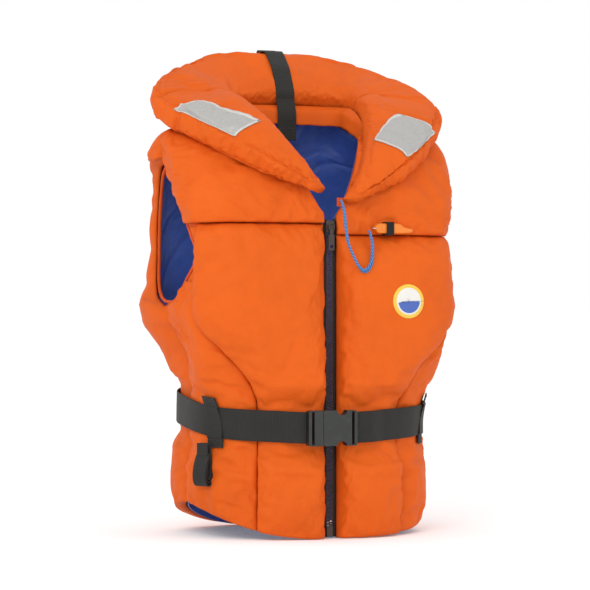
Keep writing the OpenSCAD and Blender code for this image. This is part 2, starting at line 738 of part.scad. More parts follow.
// ---- whistle and lanyard ----
whistle_x = 82;
whistle_z = left_seam_z + whistle_h / 2 + 2;
whistle_y = -(front_d + 13.8 + whistle_t / 2);
whistle_turn = 5;        // the whistle follows the chest, turned a little about the vertical
hole_x = -whistle_l / 2 + 4;
module at_whistle() {
    translate([whistle_x, whistle_y, whistle_z]) rotate([0, 0, whistle_turn]) children();
}
body_h = whistle_h - 2;
module whistle() {
    mouth = whistle_l / 3;
    end = whistle_l / 2;
    color("#f0861e") at_whistle() rotate([90, 0, 0]) translate([0, 0, -whistle_t / 2]) difference() {
        linear_extrude(whistle_t) difference() {
            union() {
                translate([-end + body_h / 2, -body_h / 2]) square([whistle_l - mouth - body_h / 2, body_h]);
                translate([-end + body_h / 2, 0]) circle(body_h / 2);
                translate([0, -body_h / 2]) square([end - 3, body_h * 0.6]);
                translate([end - 3 - mouth / 2, -body_h / 2 + 2]) square([mouth / 2 + 3, body_h * 0.6 - 4]);
            }
            translate([hole_x, 0]) circle(d = 4);
        }
        for (z = [-1, whistle_t / 2 + lug_t / 2])
            translate([-end - 1, -body_h, z])
                cube([hole_x + end + 5, 2 * body_h, whistle_t / 2 - lug_t / 2 + 1]);
        translate([4, body_h / 2 - 4, 2.5]) cube([3, 8, whistle_t - 5]);
        translate([end - mouth, -body_h / 2 + 2.6, whistle_t / 2 - 2])
            cube([mouth + 1, body_h * 0.6 - 5.2, 4]);
    }
}
lug_t = 3;
ring_d = 7;
ring_wire = 1.5;
module whistle_ring() {
    color("silver") at_whistle() translate([hole_x - ring_d / 2, 0, 0])
        rotate_extrude($fn = 24) translate([ring_d / 2, 0]) circle(d = ring_wire, $fn = 16);
}
loop_gap = 0.5;
band_t = 1.4;
module whistle_loop() {
    h = body_h + 2 * loop_gap;
    t = whistle_t + 2 * loop_gap;
    color(black) at_whistle() difference() {
        box([-12, -t / 2 - band_t, -h / 2 - band_t], [-2, t / 2 + band_t, h / 2 + band_t]);
        box([-13, -t / 2, -h / 2], [-1, t / 2, h / 2]);
    }
}

// The lanyard is one cord doubled: two strands side by side from the neck edge to the whistle's ring
cord_route = [
    [12, -120, 430], [11, -128, 424], [11, -133, 414], [11, -136, 402], [12, -138, 388],
    [14, -140, 374], [20, -141, 360], [26, -142, 348], [33, -142, 341], [40, -142, 343],
    [45, -141, 352], [47, -139, 364], [48, -136, 376], [48, -131, 386], [48, -126, 391],
];
anchor = cord_route[0];
function strand(k) = [for (p = cord_route) p + k * cord_d * [0.382, 0.515, -0.353]];
module lanyard_strand(k) {
    color(cord_blue) sweep(tube_rings(strand(k), cord_d, 8));
}
module lanyard_anchor() {
    back_y = anchor.y + cord_d;
    color(orange) box([anchor.x - 7, back_y, anchor.z - 6], [anchor.x + 7, back_y + 2, anchor.z + 10]);
}

// Plain round patch on the left chest
patch_r = 22;
patch_x = 96;
patch_z = 302;
module round_patch() {
    rows = function (off) [for (j = [0:10])
        let (
            v = mix(-0.99, 0.99, j / 10),
            half = patch_r * sqrt(1 - v * v)
        )
        [for (i = [-3:3]) skin(a_of_x(patch_x + half * i / 3), patch_z + v * patch_r, off)]];
    off = cover_in + front_foam_t + cover_t;
    color("#e8c84a") slab(rows(off + ease), rows(off + 1.4));
}

// ---- assembly ----
back_lining();
back_foam();
back_cover();
on_right() front_lining(right_seam_z, 0);  // right_front_lining
front_lining(left_seam_z, left_sag);  // left_front_lining
on_right() front_foam(right_seam_z);  // right_front_foam
front_foam(left_seam_z);  // left_front_foam
on_right() front_cover(right_seam_z);  // right_front_cover
front_cover(left_seam_z);  // left_front_cover
on_right() side_gusset(right_seam_z);  // right_side_gusset
side_gusset(left_seam_z);  // left_side_gusset
on_right() yoke(right_seam_z, 0);  // right_yoke
yoke(left_seam_z, left_sag);  // left_yoke
on_right() armhole_binding(right_seam_z);  // right_armhole_binding
armhole_binding(left_seam_z);  // left_armhole_binding
on_right() lapel_top(0);  // right_lapel_top
lapel_top(left_sag);  // left_lapel_top
on_right() lapel_wall(0);  // right_lapel_wall
lapel_wall(left_sag);  // left_lapel_wall
on_right() lapel_foam(0);  // right_lapel_foam
lapel_foam(left_sag);  // left_lapel_foam
collar_inner_panel();
collar_outer_panel();
collar_foam();
neck_band();
collar_strap();
on_right() reflective_tape(right_tape, 0);  // right_reflective_tape
reflective_tape(left_tape, left_sag);  // left_reflective_tape
on_right() zip_tape();  // right_zip_tape
zip_tape();  // left_zip_tape
on_right() zip_teeth();  // right_zip_teeth
zip_teeth();  // left_zip_teeth
zip_slider();
zip_pull_tab();
zip_end_box();
belt_back();
belt_front(socket_end + 2 * ease);  // belt_front_left
on_right() belt_front(2 * ease - plug_end);  // belt_front_right
on_right() belt_loop();  // right_belt_loop
belt_loop();  // left_belt_loop
buckle_socket();
buckle_plug();
buckle_prong();  // buckle_upper_prong
translate([0, 0, 2 * belt_z]) mirror([0, 0, 1]) buckle_prong();  // buckle_lower_prong
on_right() strap_bundle();
on_right() bundle_hanger();
whistle();
whistle_loop();
whistle_ring();
lanyard_strand(1);  // lanyard_left_strand
lanyard_strand(-1);  // lanyard_right_strand
lanyard_anchor();
round_patch();
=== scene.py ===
"""Looks of the life jacket: cloth, webbing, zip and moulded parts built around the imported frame.

The frame has +Z up, the front towards -Y and the wearer's right at -X. Surfaces are in millimetres.
"""

import math

import bpy
import numpy as np
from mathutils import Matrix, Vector


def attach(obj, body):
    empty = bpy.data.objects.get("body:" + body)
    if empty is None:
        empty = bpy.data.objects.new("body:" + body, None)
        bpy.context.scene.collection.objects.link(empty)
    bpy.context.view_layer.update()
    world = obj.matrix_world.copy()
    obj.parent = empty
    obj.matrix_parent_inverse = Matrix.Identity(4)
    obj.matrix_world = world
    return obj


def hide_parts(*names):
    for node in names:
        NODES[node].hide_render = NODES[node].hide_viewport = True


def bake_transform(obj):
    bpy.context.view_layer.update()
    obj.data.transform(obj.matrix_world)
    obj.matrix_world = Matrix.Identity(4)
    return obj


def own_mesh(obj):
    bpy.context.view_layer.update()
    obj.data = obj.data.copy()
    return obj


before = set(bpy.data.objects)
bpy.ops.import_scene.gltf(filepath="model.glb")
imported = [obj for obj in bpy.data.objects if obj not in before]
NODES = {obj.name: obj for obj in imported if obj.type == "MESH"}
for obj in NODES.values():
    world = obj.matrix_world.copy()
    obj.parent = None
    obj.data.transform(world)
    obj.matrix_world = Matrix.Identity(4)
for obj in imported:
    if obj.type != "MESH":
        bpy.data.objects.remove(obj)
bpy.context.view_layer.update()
SCENE = bpy.context.scene
MM = 0.001

# ------ camera
VIEW_ANGLE = math.radians(21)
CAMERA_DISTANCE = 3.4
TARGET = Vector((0, 0, 0.3))
PICTURE, SENSOR = 590, 36
FOCAL, SHIFT_X, SHIFT_Y = 2577, -4, 7.9          # the lens and its shifts, in the same unit as PICTURE
camera_data = bpy.data.cameras.new("camera")
camera_data.sensor_width = SENSOR
camera_data.lens = FOCAL / PICTURE * SENSOR
camera_data.shift_x = SHIFT_X / PICTURE
camera_data.shift_y = SHIFT_Y / PICTURE
camera = bpy.data.objects.new("camera", camera_data)
SCENE.collection.objects.link(camera)
back = Vector((-math.sin(VIEW_ANGLE), -math.cos(VIEW_ANGLE), 0))
camera.location = TARGET + back * CAMERA_DISTANCE
camera.rotation_euler = (-back).to_track_quat("-Z", "Y").to_euler()
SCENE.camera = camera

# ------ sizes, as in the CAD source (mm and degrees)
CHEST_W, WAIST_W, FRONT_D, BACK_D = 350, 276, 104, 106
SHOULDER_Z, CHEST_Z, NECK_Z = 508, 380, 412
NECK_HALF, NECK_RISE, NECK_BACK = 84, 36, 52
RISE = {"right": 42, "left": 14}
SEAM_Z = {"right": 400, "left": 386}
BACK_SEAM = SEAM_Z["right"]
SIDES = (("right", -1), ("left", 1))
MIRROR = np.array([-1, 1, 1])
SIDE_TUCK, HEM_FLARE = 22, 6
ARM_Z, ARM_TOP_Z, ARM_FRONT, ARM_BACK = 297, 484, 27, 24
FRONT_T, BACK_T, SIDE_T, BELT_T, EDGE_T = 31, 27, 14, 14, 3
COVER_T, LINING_T, COVER_IN, EASE, FRONT_GAP = 1.6, 1.6, 3.2, 0.4, 9
COLLAR_Z, COLLAR_HALF, COLLAR_BACK = 634, 202, 132
BELT_Z, BELT_RISE, BELT_W, WEB_T = 141, 36, 40, 1.6
BUCKLE_W, BUCKLE_T, SOCKET_L, PLUG_L, SEAM_X = 45, 13, 46, 20, -19.5
TEETH_W, TEETH_T, TEETH_GAP, TAPE_T = 2.6, 3, 1.7, 1
LOOP_A, LOOP_H, LOOP_W = 64, 72, 24
CAP_H = SHOULDER_Z - CHEST_Z
CAP_LEN = CAP_H * math.pi / 2
CINCH = BUCKLE_W / 2 + 3
BELT_OFF = COVER_IN + BELT_T + COVER_T + 1.8
LEFT_SAG, LEFT_NARROW, FOLD_T = 13, 0.97, 0.585


def mix(a, b, t):
    return a + (b - a) * t


def clamp01(t):
    return np.clip(t, 0, 1)


def smooth(t):
    s = clamp01(t)
    return s * s * (3 - 2 * s)


def unit(v):
    return v / np.maximum(np.linalg.norm(v, axis=-1, keepdims=True), 1e-9)


def sind(a):
    return np.sin(np.radians(a))


def cosd(a):
    return np.cos(np.radians(a))


def run_of(path):
    """Length along a path up to each of its points."""
    return np.concatenate([[0], np.cumsum(np.linalg.norm(np.diff(path, axis=0), axis=1))])


def at_run(path, run, at):
    """The path's point at each length along it."""
    return np.stack([np.interp(at, run, path[:, c]) for c in range(3)], -1)


def spline(a, b, c, d, s):
    """The point s of the way from b to c on a smooth curve through a, b, c and d."""
    return 0.5 * (2 * b + (c - a) * s + (2 * a - 5 * b + 4 * c - d) * s ** 2
                  + (3 * b - a - 3 * c + d) * s ** 3)


# ------ the body's inner surface
def half_width(a, h):
    t = (h - BELT_Z) / (ARM_Z - BELT_Z)
    q = clamp01(t) ** 1.5
    tuck = np.maximum(0, 4 * q * (1 - q)) ** 1.5
    share = np.where(cosd(a) < 0, 1, smooth((np.abs(sind(a)) - 0.86) / 0.14))
    return (WAIST_W / 2 + (CHEST_W - WAIST_W) / 2 * smooth(t)
            + HEM_FLARE * smooth((BELT_Z - h) / BELT_Z) - SIDE_TUCK * tuck * share)


def squareness(a, h):
    front = (h - BELT_Z) / (ARM_Z - BELT_Z)
    rear = (h - BELT_Z - 60) / (ARM_Z - BELT_Z - 50)
    return mix(2.6, 5, smooth(np.where(cosd(a) > 0, front, rear)))


def height_at(z):
    return z if z <= CHEST_Z else CHEST_Z + CAP_LEN * math.degrees(math.asin((z - CHEST_Z) / CAP_H)) / 90


def belt_mid(a):
    return BELT_Z + BELT_RISE * (1 - cosd(a)) / 2


def base(a, h, rise):
    a, h = np.broadcast_arrays(np.asarray(a, float), np.asarray(h, float))
    w = half_width(a, h)
    ahead = cosd(a) > 0
    d = np.where(ahead, FRONT_D, BACK_D)
    n = squareness(a, h)
    f = np.minimum(np.abs(np.tan(np.radians(a))) * d / w, 1e6) ** (n / 2)
    p = np.arctan(f)
    x = w * np.sin(p) ** (2 / n) * np.where(sind(a) < 0, -1, 1)
    y0 = d * np.abs(np.cos(p)) ** (2 / n)
    b = np.where(ahead, 0, smooth((NECK_HALF + 25 - np.abs(x)) / 55))
    c = np.radians(clamp01((h - CHEST_Z) / CAP_LEN) * 90)
    y = mix(NECK_BACK * b, y0, np.cos(c))
    high = np.where(sind(a) < 0, RISE["right"], rise)
    lift = high * sind(a) ** 4 * clamp01(1 - h / (BELT_Z * 0.8))
    z = np.minimum(h, CHEST_Z) + (CAP_H + NECK_RISE * b) * np.sin(c) + lift
    return np.stack([x, np.where(ahead, -y, y), z], -1)


def outward(a, h, rise):
    e = 0.5
    h0 = np.minimum(h, CHEST_Z + CAP_LEN - 2)
    du = base(a + e, h0, rise) - base(a - e, h0, rise)
    dv = base(a, h0 + e, rise) - base(a, np.maximum(0, h0 - e), rise)
    return unit(np.cross(du, dv))


def skin(a, h, off, rise):
    return base(a, h, rise) + outward(a, h, rise) * np.asarray(off)[..., None]


def a_of_x(x):
    return np.degrees(np.arctan(x / FRONT_D))


# ------ rows and edges that the panels share
BELOW, ROW_ARM, ROW_SEAM, ROW_ARM_TOP, ROW_TOP = 3, 9, 13, 17, 20
ARM_TOP_H = height_at(ARM_TOP_Z)


def row_h(j, a, seam):
    lo, mid, hi, seam_h = belt_mid(a) - CINCH, belt_mid(a), belt_mid(a) + CINCH, height_at(seam)
    steps = [
        lo * j / BELOW,
        mix(lo, mid, j - 3),
        mix(mid, hi, j - 4),
        mix(hi, ARM_Z, (j - 5) / 4),
        mix(ARM_Z, seam_h, 1 - cosd((j - ROW_ARM) * 22.5)),
        mix(seam_h, ARM_TOP_H, sind((j - ROW_SEAM) * 22.5)),
    ]
    last = mix(ARM_TOP_H, CHEST_Z + CAP_LEN - EASE, (j - ROW_ARM_TOP) / 3)
    return np.select([j <= 3, j <= 4, j <= 5, j <= ROW_ARM, j <= ROW_SEAM, j <= ROW_ARM_TOP], steps, last)


def arm_t(j, seam):
    return (row_h(j, 90.0, seam) - ARM_Z) / (ARM_TOP_H - ARM_Z)


def arm_front(j, seam):
    t = arm_t(j, seam)
    return ARM_FRONT * clamp01(t / 0.3) ** 0.5 * clamp01((1 - t) / 0.72) ** 0.8


def arm_back(j, seam):
    t = arm_t(j, seam)
    return ARM_BACK * np.maximum(0, 1 - np.abs(1 - 2 * t) ** 3) ** (1 / 3)


def front_side(j, seam):
    pillow = mix(45, 91 - ARM_FRONT, smooth((j - 5) / 4))
    return np.minimum(pillow, 90 - arm_front(j, seam))


def neck_x(j, seam):
    t = clamp01((row_h(j, 0.0, seam) - NECK_Z) / (CHEST_Z + CAP_LEN - NECK_Z))
    return FRONT_GAP + (NECK_HALF - FRONT_GAP) * t ** 0.8


# ------ thickness of the padding
def rim(t):
    return np.maximum(0, 1 - np.abs(2 * t - 1) ** 5) ** 0.55


def cinch(a, h, full):
    return mix(BELT_T, full, smooth((np.abs(h - belt_mid(a)) - CINCH) / 34))


def pillow_t(u, j, a, seam):
    h = row_h(j, a, seam)
    return mix(EDGE_T, np.minimum(FRONT_T, cinch(a, h, FRONT_T)),
               rim(mix(0, 0.97, u)) * rim(mix(0.04, 1, h / height_at(seam))))


def side_t(u, j, a, seam):
    return mix(EDGE_T, BELT_T, rim(mix(0.02, 0.98, u)) * rim(mix(0.03, 0.97, row_h(j, a, seam) / ARM_Z)))


def yoke_t(u, v):
    return mix(EDGE_T, SIDE_T, rim(mix(0.1, 0.985, u)) * rim(mix(0.02, 0.8, v)))


def back_t(u, j, a):
    h = row_h(j, a, SEAM_Z["right"])
    return EDGE_T + (np.minimum(BACK_T, cinch(a, h, BACK_T)) - EDGE_T) * rim(u) * rim(
        mix(0.04, 0.99, h / (CHEST_Z + CAP_LEN)))


# ------ noise, the same on every run
def noise(seed, x, y=0.0):
    """Smooth noise from -1 to 1 at each x, y, with features about one unit across."""
    table = np.random.default_rng(seed).uniform(-1, 1, (128, 128))
    x, y = np.broadcast_arrays(np.asarray(x, float), np.asarray(y, float))
    i, j = np.floor(x).astype(int), np.floor(y).astype(int)
    s, t = x - i, y - j
    s, t = s * s * (3 - 2 * s), t * t * (3 - 2 * t)
    at = lambda p, q: table[p % 128, q % 128]
    return mix(mix(at(i, j), at(i + 1, j), s), mix(at(i, j + 1), at(i + 1, j + 1), s), t)


def arc(points, axis):
    step = np.linalg.norm(np.diff(points, axis=axis), axis=-1)
    zero = np.zeros_like(np.take(step, [0], axis=axis))
    return np.concatenate([zero, np.cumsum(step, axis=axis)], axis=axis)


def normals_of(p):
    du = np.gradient(p, axis=1)
    dv = np.gradient(p, axis=0)
    return unit(np.cross(du, dv))


def puckers(p, edges, seed):
    """Folds that run in from sewn edges: each of left, right, bottom, top to its (height, reach, spacing)."""
    s, t = arc(p, 1), arc(p, 0)
    s_end, t_end = s[:, -1:], t[-1:, :]
    away = {"left": (s, t), "right": (s_end - s, t), "bottom": (t, s), "top": (t_end - t, s)}
    total = np.zeros(p.shape[:2])
    for k, (edge, (height, reach, spacing)) in enumerate(edges.items()):
        d, along = away[edge]
        wave = (noise(seed + k, along / spacing, d / (spacing * 4))
                + 0.6 * noise(seed + k + 50, along / spacing * 2.1, d / (spacing * 2.5)))
        total += height * wave * np.exp(-d / reach) * (1 - 0.75 * np.exp(-d / 4))
    return total


def finer(p, times=2):
    """The grid with more points, on a smooth curve through the old ones."""
    for axis in (0, 1):
        n = p.shape[axis]
        at = np.linspace(0, n - 1, (n - 1) * times + 1)
        k = np.minimum(np.floor(at).astype(int), n - 2)
        shape = [1] * p.ndim
        shape[axis] = len(at)
        s = (at - k).reshape(shape)
        g = lambda i: np.take(p, np.clip(k + i, 0, n - 1), axis=axis)
        p = spline(g(-1), g(0), g(1), g(2), s)
    return p


# ------ meshes
COLLECTION = SCENE.collection


def new_object(name, points, faces, material, uv=None, flat=False):
    """points in mm; uv is one pair of metres for each point."""
    mesh = bpy.data.meshes.new(name)
    mesh.from_pydata((np.asarray(points) * MM).tolist(), [], faces)
    mesh.update()
    if uv is not None:
        layer = mesh.uv_layers.new(name="cloth")
        loops = np.zeros(len(mesh.loops), int)
        mesh.loops.foreach_get("vertex_index", loops)
        layer.data.foreach_set("uv", (np.asarray(uv) * MM)[loops].ravel())
    mesh.polygons.foreach_set("use_smooth", [not flat] * len(mesh.polygons))
    mesh.materials.append(material)
    o = bpy.data.objects.new(name, mesh)
    COLLECTION.objects.link(o)
    return o


def grid_faces(nv, nu, start=0, flip=False):
    faces = []
    for j in range(nv - 1):
        for i in range(nu - 1):
            k = start + j * nu + i
            q = [k, k + 1, k + nu + 1, k + nu]
            faces.append(q[::-1] if flip else q)
    return faces


def tube_faces(rows, sides, closed=False):
    """Faces of a tube made of rings, with its two ends capped, or joined to each other when closed."""
    faces = []
    for k in range(rows if closed else rows - 1):
        low, high = k * sides, (k + 1) % rows * sides
        faces += [[low + i, low + (i + 1) % sides, high + (i + 1) % sides, high + i] for i in range(sides)]
    if not closed:
        faces += [list(range(sides))[::-1], [(rows - 1) * sides + i for i in range(sides)]]
    return faces


def rings_round(path, radius, angle, s, u):
    """Rings of points round a path, in the plane of s and u at each of its points."""
    return path[:, None] + radius[..., None] * (np.cos(angle)[None, :, None] * s[:, None]
                                                + np.sin(angle)[None, :, None] * u[:, None])


def uv_of(u, v):
    return np.stack(np.broadcast_arrays(u, v), -1).reshape(-1, 2)


def between(name, outer, inner, material, uv):
    """A closed piece between two grids of the same size."""
    nv, nu = outer.shape[:2]
    n = nv * nu
    faces = grid_faces(nv, nu) + grid_faces(nv, nu, n, True)
    ring = ([(0, i) for i in range(nu)] + [(j, nu - 1) for j in range(1, nv)]
            + [(nv - 1, i) for i in range(nu - 2, -1, -1)] + [(j, 0) for j in range(nv - 2, 0, -1)])
    ids = [j * nu + i for j, i in ring]
    faces += [[b, a, a + n, b + n] for a, b in zip(ids, ids[1:] + ids[:1])]
    points = np.concatenate([outer.reshape(-1, 3), inner.reshape(-1, 3)])
    return new_object(name, points, faces, material, np.concatenate([uv, uv]))


def slab(name, outer, inner, material):
    """A closed piece whose columns run anticlockwise seen from above and whose rows run up."""
    return between(name, outer, inner, material, uv_of(arc(outer, 1), arc(outer, 0)))


def mirrored(p):
    return (p * MIRROR)[:, ::-1]


def on_side(side, *grids):
    """Grids worked out for the wearer's left, mirrored when they are for the right."""
    return [mirrored(p) if side == "right" else p for p in grids]


def finish_piece(o, body, slot, *replaced, fill=None):
    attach(o, body)
    if replaced:
        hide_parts(*replaced)
    return o


# ------ cloth
SHEETS = []
SINK = 2.0                             # how far a sheet may settle inwards


def sheet(name, points, pins, grow, pressure, cap, limit=None):
    """Adds a grid to the sheets that settle together; pins are 1 where it is sewn down."""
    SHEETS.append(dict(name=name, points=points, pins=pins, grow=grow, pressure=pressure, cap=cap,
                       limit=limit))


def settle(frames=18):
    """Lets the sheets blow out and wrinkle as cloth, and returns the new grid of each by name."""
    done = {s["name"]: s["points"] for s in SHEETS}
    made = []
    for s in SHEETS:
        nv, nu = s["points"].shape[:2]
        mesh = bpy.data.meshes.new("settling")
        mesh.from_pydata((s["points"].reshape(-1, 3) * MM).tolist(), [], grid_faces(nv, nu))
        o = bpy.data.objects.new("settling_" + s["name"], mesh)
        COLLECTION.objects.link(o)
        group = o.vertex_groups.new(name="sewn")
        for k, w in enumerate(s["pins"].ravel()):
            if w > 0.01:
                group.add([k], float(w), "REPLACE")
        m = o.modifiers.new("cloth", "CLOTH")
        c = m.settings
        c.quality = 5
        c.mass = 0.15
        c.tension_stiffness = c.compression_stiffness = 25
        c.shear_stiffness = 10
        c.bending_stiffness = 0.08
        c.air_damping = 3
        c.vertex_group_mass = "sewn"
        c.shrink_min = -s["grow"]
        c.use_pressure = True
        c.uniform_pressure_force = s["pressure"]
        c.effector_weights.gravity = 0
        m.collision_settings.use_collision = False
        m.point_cache.frame_start = 1
        m.point_cache.frame_end = frames
        made.append(o)
    SCENE.frame_start, SCENE.frame_end = 1, frames
    for f in range(1, frames + 1):
        SCENE.frame_set(f)
    graph = bpy.context.evaluated_depsgraph_get()
    for s, o in zip(SHEETS, made):
        found = o.evaluated_get(graph).to_mesh()
        co = np.zeros(len(found.vertices) * 3)
        found.vertices.foreach_get("co", co)
        moved = co.reshape(s["points"].shape) / MM - s["points"]
        moved = np.nan_to_num(moved)
        n = normals_of(s["points"])
        out = (moved * n).sum(-1, keepdims=True)
        side = moved - out * n
        cap = s["cap"] if s["limit"] is None else np.minimum(s["cap"], s["limit"])[..., None]
        out = np.clip(out, -SINK, cap)
        size = np.linalg.norm(side, axis=-1, keepdims=True)
        side *= np.minimum(1, 3 / np.maximum(size, 1e-6))
        free = 1 - s["pins"][..., None]
        done[s["name"]] = s["points"] + (out * n + side) * np.minimum(1, free * 4)
    for o in made:
        bpy.data.objects.remove(o)
    SCENE.frame_set(1)
    return done


# ------ materials
class Nodes:
    """A small helper for building a material's node tree."""

    def __init__(self, name, colour, roughness, metallic=0.0, sheen=0.0, specular=0.5):
        self.material = bpy.data.materials.new(name)
        self.material.use_nodes = True
        self.tree = self.material.node_tree
        self.shader = self.tree.nodes["Principled BSDF"]
        self.set("Base Color", (*colour, 1))
        self.set("Roughness", roughness)
        self.set("Metallic", metallic)
        self.set("Sheen Weight", sheen)
        self.set("Specular IOR Level", specular)
        self.material.diffuse_color = (*colour, 1)

    def set(self, socket, value):
        self.shader.inputs[socket].default_value = value

    def add(self, kind, **values):
        node = self.tree.nodes.new(kind)
        for key, value in values.items():
            if key in node.inputs:
                node.inputs[key].default_value = value
            else:
                setattr(node, key, value)
        return node

    def link(self, a, b):
        self.tree.links.new(a, b)

    def place(self, scale=(1, 1, 1), uv=False):
        source = self.add("ShaderNodeTexCoord").outputs["UV" if uv else "Object"]
        mapping = self.add("ShaderNodeMapping")
        mapping.inputs["Scale"].default_value = scale
        self.link(source, mapping.inputs["Vector"])
        return mapping.outputs["Vector"]

    def noise(self, where, scale, detail=3.0):
        node = self.add("ShaderNodeTexNoise", Scale=scale, Detail=detail)
        self.link(where, node.inputs["Vector"])
        return node.outputs["Fac"]

    def wave(self, where, scale, direction="X", distortion=0.0):
        node = self.add("ShaderNodeTexWave", Scale=scale, Distortion=distortion)
        node.bands_direction = direction
        self.link(where, node.inputs["Vector"])
        return node.outputs["Fac"]

    def math(self, kind, a, b):
        node = self.add("ShaderNodeMath", operation=kind)
        for k, v in enumerate((a, b)):
            if isinstance(v, (int, float)):
                node.inputs[k].default_value = v
            else:
                self.link(v, node.inputs[k])
        return node.outputs["Value"]

    def ramp(self, value, stops):
        node = self.add("ShaderNodeValToRGB")
        marks = node.color_ramp.elements
        while len(marks) < len(stops):
            marks.new(0.5)
        for mark, (at, colour) in zip(marks, stops):
            mark.position, mark.color = at, (*colour, 1)
        self.link(value, node.inputs["Fac"])
        return node.outputs["Color"]

    def bump(self, height, distance, strength=1.0):
        node = self.add("ShaderNodeBump", Strength=strength, Distance=distance)
        self.link(height, node.inputs["Height"])
        before = self.shader.inputs["Normal"].links
        if before:
            self.link(before[0].from_socket, node.inputs["Normal"])
        self.link(node.outputs["Normal"], self.shader.inputs["Normal"])

    def colour(self, output):
        self.link(output, self.shader.inputs["Base Color"])

    def rough(self, value, low, high):
        node = self.add("ShaderNodeMapRange")
        node.inputs["To Min"].default_value = low
        node.inputs["To Max"].default_value = high
        self.link(value, node.inputs["Value"])
        self.link(node.outputs["Result"], self.shader.inputs["Roughness"])


def shade(colour, k):
    return tuple(min(1, c * k) for c in colour)


def woven(name, colour, roughness, pitch=0.55, sheen=0.15, specular=0.4, wrinkle=0.6, spread=0.10):
    """Plain-weave cloth: crossed threads, soft crumples, colour that varies a little from place to place."""
    n = Nodes(name, colour, roughness, sheen=sheen, specular=specular)
    n.set("Sheen Roughness", 0.4)
    uv = n.place(uv=True)
    cells = 1 / (pitch * MM) / 20 * math.pi
    weave = n.math("MULTIPLY", n.wave(uv, cells, "X"), n.wave(uv, cells, "Y"))
    where = n.place()
    broad = n.noise(where, 9, 4)
    grime = n.noise(where, 60, 5)
    both = n.math("ADD", n.math("MULTIPLY", broad, 0.6), n.math("MULTIPLY", grime, 0.4))
    n.colour(n.ramp(both, [(0.3, shade(colour, 1 - spread)), (0.5, colour),
                           (0.7, shade(colour, 1 + spread * 0.6))]))
    n.rough(grime, roughness - 0.08, roughness + 0.1)
    n.bump(n.noise(where, 85, 4), 0.0016, wrinkle)
    n.bump(weave, 0.00012, 0.5)
    return n.material


def ribbed(name, colour, pitch=1.3, thread=(0.5, 1.6)):
    """Polypropylene webbing: ribs along its length crossed by the weft, worn a little paler."""
    n = Nodes(name, colour, 0.62, sheen=0.05, specular=0.2)
    uv = n.place(uv=True)
    ribs = n.wave(uv, math.pi / 10 / (pitch * MM), "X")
    rows = n.wave(uv, math.pi / 10 / (2.2 * MM), "Y", 0.4)
    where = n.place()
    wear = n.noise(where, 45, 5)
    both = n.math("ADD", n.math("MULTIPLY", ribs, 0.6), n.math("MULTIPLY", rows, 0.4))
    n.colour(n.ramp(n.math("MULTIPLY", both, n.math("ADD", wear, 0.45)),
                    [(0.15, shade(colour, thread[0])), (0.5, colour), (0.95, shade(colour, thread[1]))]))
    n.rough(wear, 0.55, 0.78)
    n.bump(ribs, 0.00025, 0.8)
    n.bump(rows, 0.0002, 0.5)
    return n.material


def moulded(name, colour, roughness=0.38, grain=700, spread=1.0):
    n = Nodes(name, colour, roughness)
    where = n.place()
    scuffs = n.noise(where, 120, 6)
    n.colour(n.ramp(scuffs, [(0.35, shade(colour, 1 - 0.2 * spread)), (0.55, colour),
                            (0.75, shade(colour, 1 + 0.35 * spread))]))
    n.rough(n.noise(where, 220, 4), roughness - 0.07, roughness + 0.12)
    n.bump(n.noise(where, grain, 2), 0.00008, 0.5)
    return n.material


def reflector(name):
    """Retroreflective tape: small cells in pale grey."""
    n = Nodes(name, (0.46, 0.45, 0.43), 0.42, specular=0.5)
    where = n.place()
    cells = n.add("ShaderNodeTexVoronoi", Scale=420.0)
    cells.feature = "DISTANCE_TO_EDGE"
    n.link(where, cells.inputs["Vector"])
    n.colour(n.ramp(cells.outputs["Distance"], [(0.02, (0.31, 0.30, 0.29)), (0.12, (0.40, 0.39, 0.375))]))
    n.rough(n.noise(where, 90, 4), 0.34, 0.55)
    n.bump(cells.outputs["Distance"], 0.0001, 0.5)
    return n.material


def braided(name, colour):
    n = Nodes(name, colour, 0.6, sheen=0.3)
    uv = n.place(uv=True)
    one = n.wave(uv, math.pi / 10 / (2.2 * MM), "DIAGONAL")
    where = n.place()
    n.colour(n.ramp(n.math("MULTIPLY", one, n.math("ADD", n.noise(where, 200, 3), 0.4)),
                    [(0.1, shade(colour, 0.55)), (0.5, colour), (0.9, shade(colour, 1.6))]))
    n.bump(one, 0.0003, 0.8)
    return n.material


ORANGE = (0.66, 0.105, 0.0085)
SHELL = woven("shell_fabric", ORANGE, 0.6, sheen=0.0, specular=0.12)
LINING = woven("lining_satin", (0.042, 0.10, 0.40), 0.36, pitch=0.4, sheen=0.0, specular=0.5, wrinkle=0.8,
               spread=0.18)
# darker orange for the armhole piping and the lanyard tab; on the seam strips in the gaps between panels it
# is painted shade
BINDING_AND_SEAM_SHADE = woven("binding_and_seam_shade_fabric", (0.60, 0.075, 0.008), 0.6, sheen=0.0, specular=0.15)
TAPE = woven("zip_fabric", (0.028, 0.018, 0.015), 0.75, pitch=0.7, sheen=0.0, specular=0.2, wrinkle=0.3)
WEBBING = ribbed("webbing", (0.022, 0.022, 0.0195))
ELASTIC = ribbed("elastic", (0.022, 0.022, 0.024), pitch=1.0)
PLASTIC = moulded("buckle_plastic", (0.018, 0.021, 0.018), 0.42)
ZIP_PLASTIC = moulded("zip_plastic", (0.055, 0.036, 0.03), 0.42)
WHISTLE = moulded("whistle_plastic", (0.74, 0.19, 0.010), 0.3, grain=300, spread=0.25)
STEEL = Nodes("ring_steel", (0.6, 0.6, 0.6), 0.3, metallic=1.0).material
REFLECTOR = reflector("reflective_tape")
BORDER = woven("reflective_border", (0.55, 0.53, 0.50), 0.5, pitch=0.5)
CORD = braided("lanyard_cord", (0.03, 0.16, 0.42))
DARK_THREAD = woven("black_thread", (0.05, 0.05, 0.048), 0.6, pitch=0.3)
PATCH = woven("patch_fabric", (0.80, 0.50, 0.06), 0.6, pitch=0.6)
PATCH_BLUE = woven("patch_embroidery", (0.06, 0.12, 0.42), 0.5, pitch=0.5)
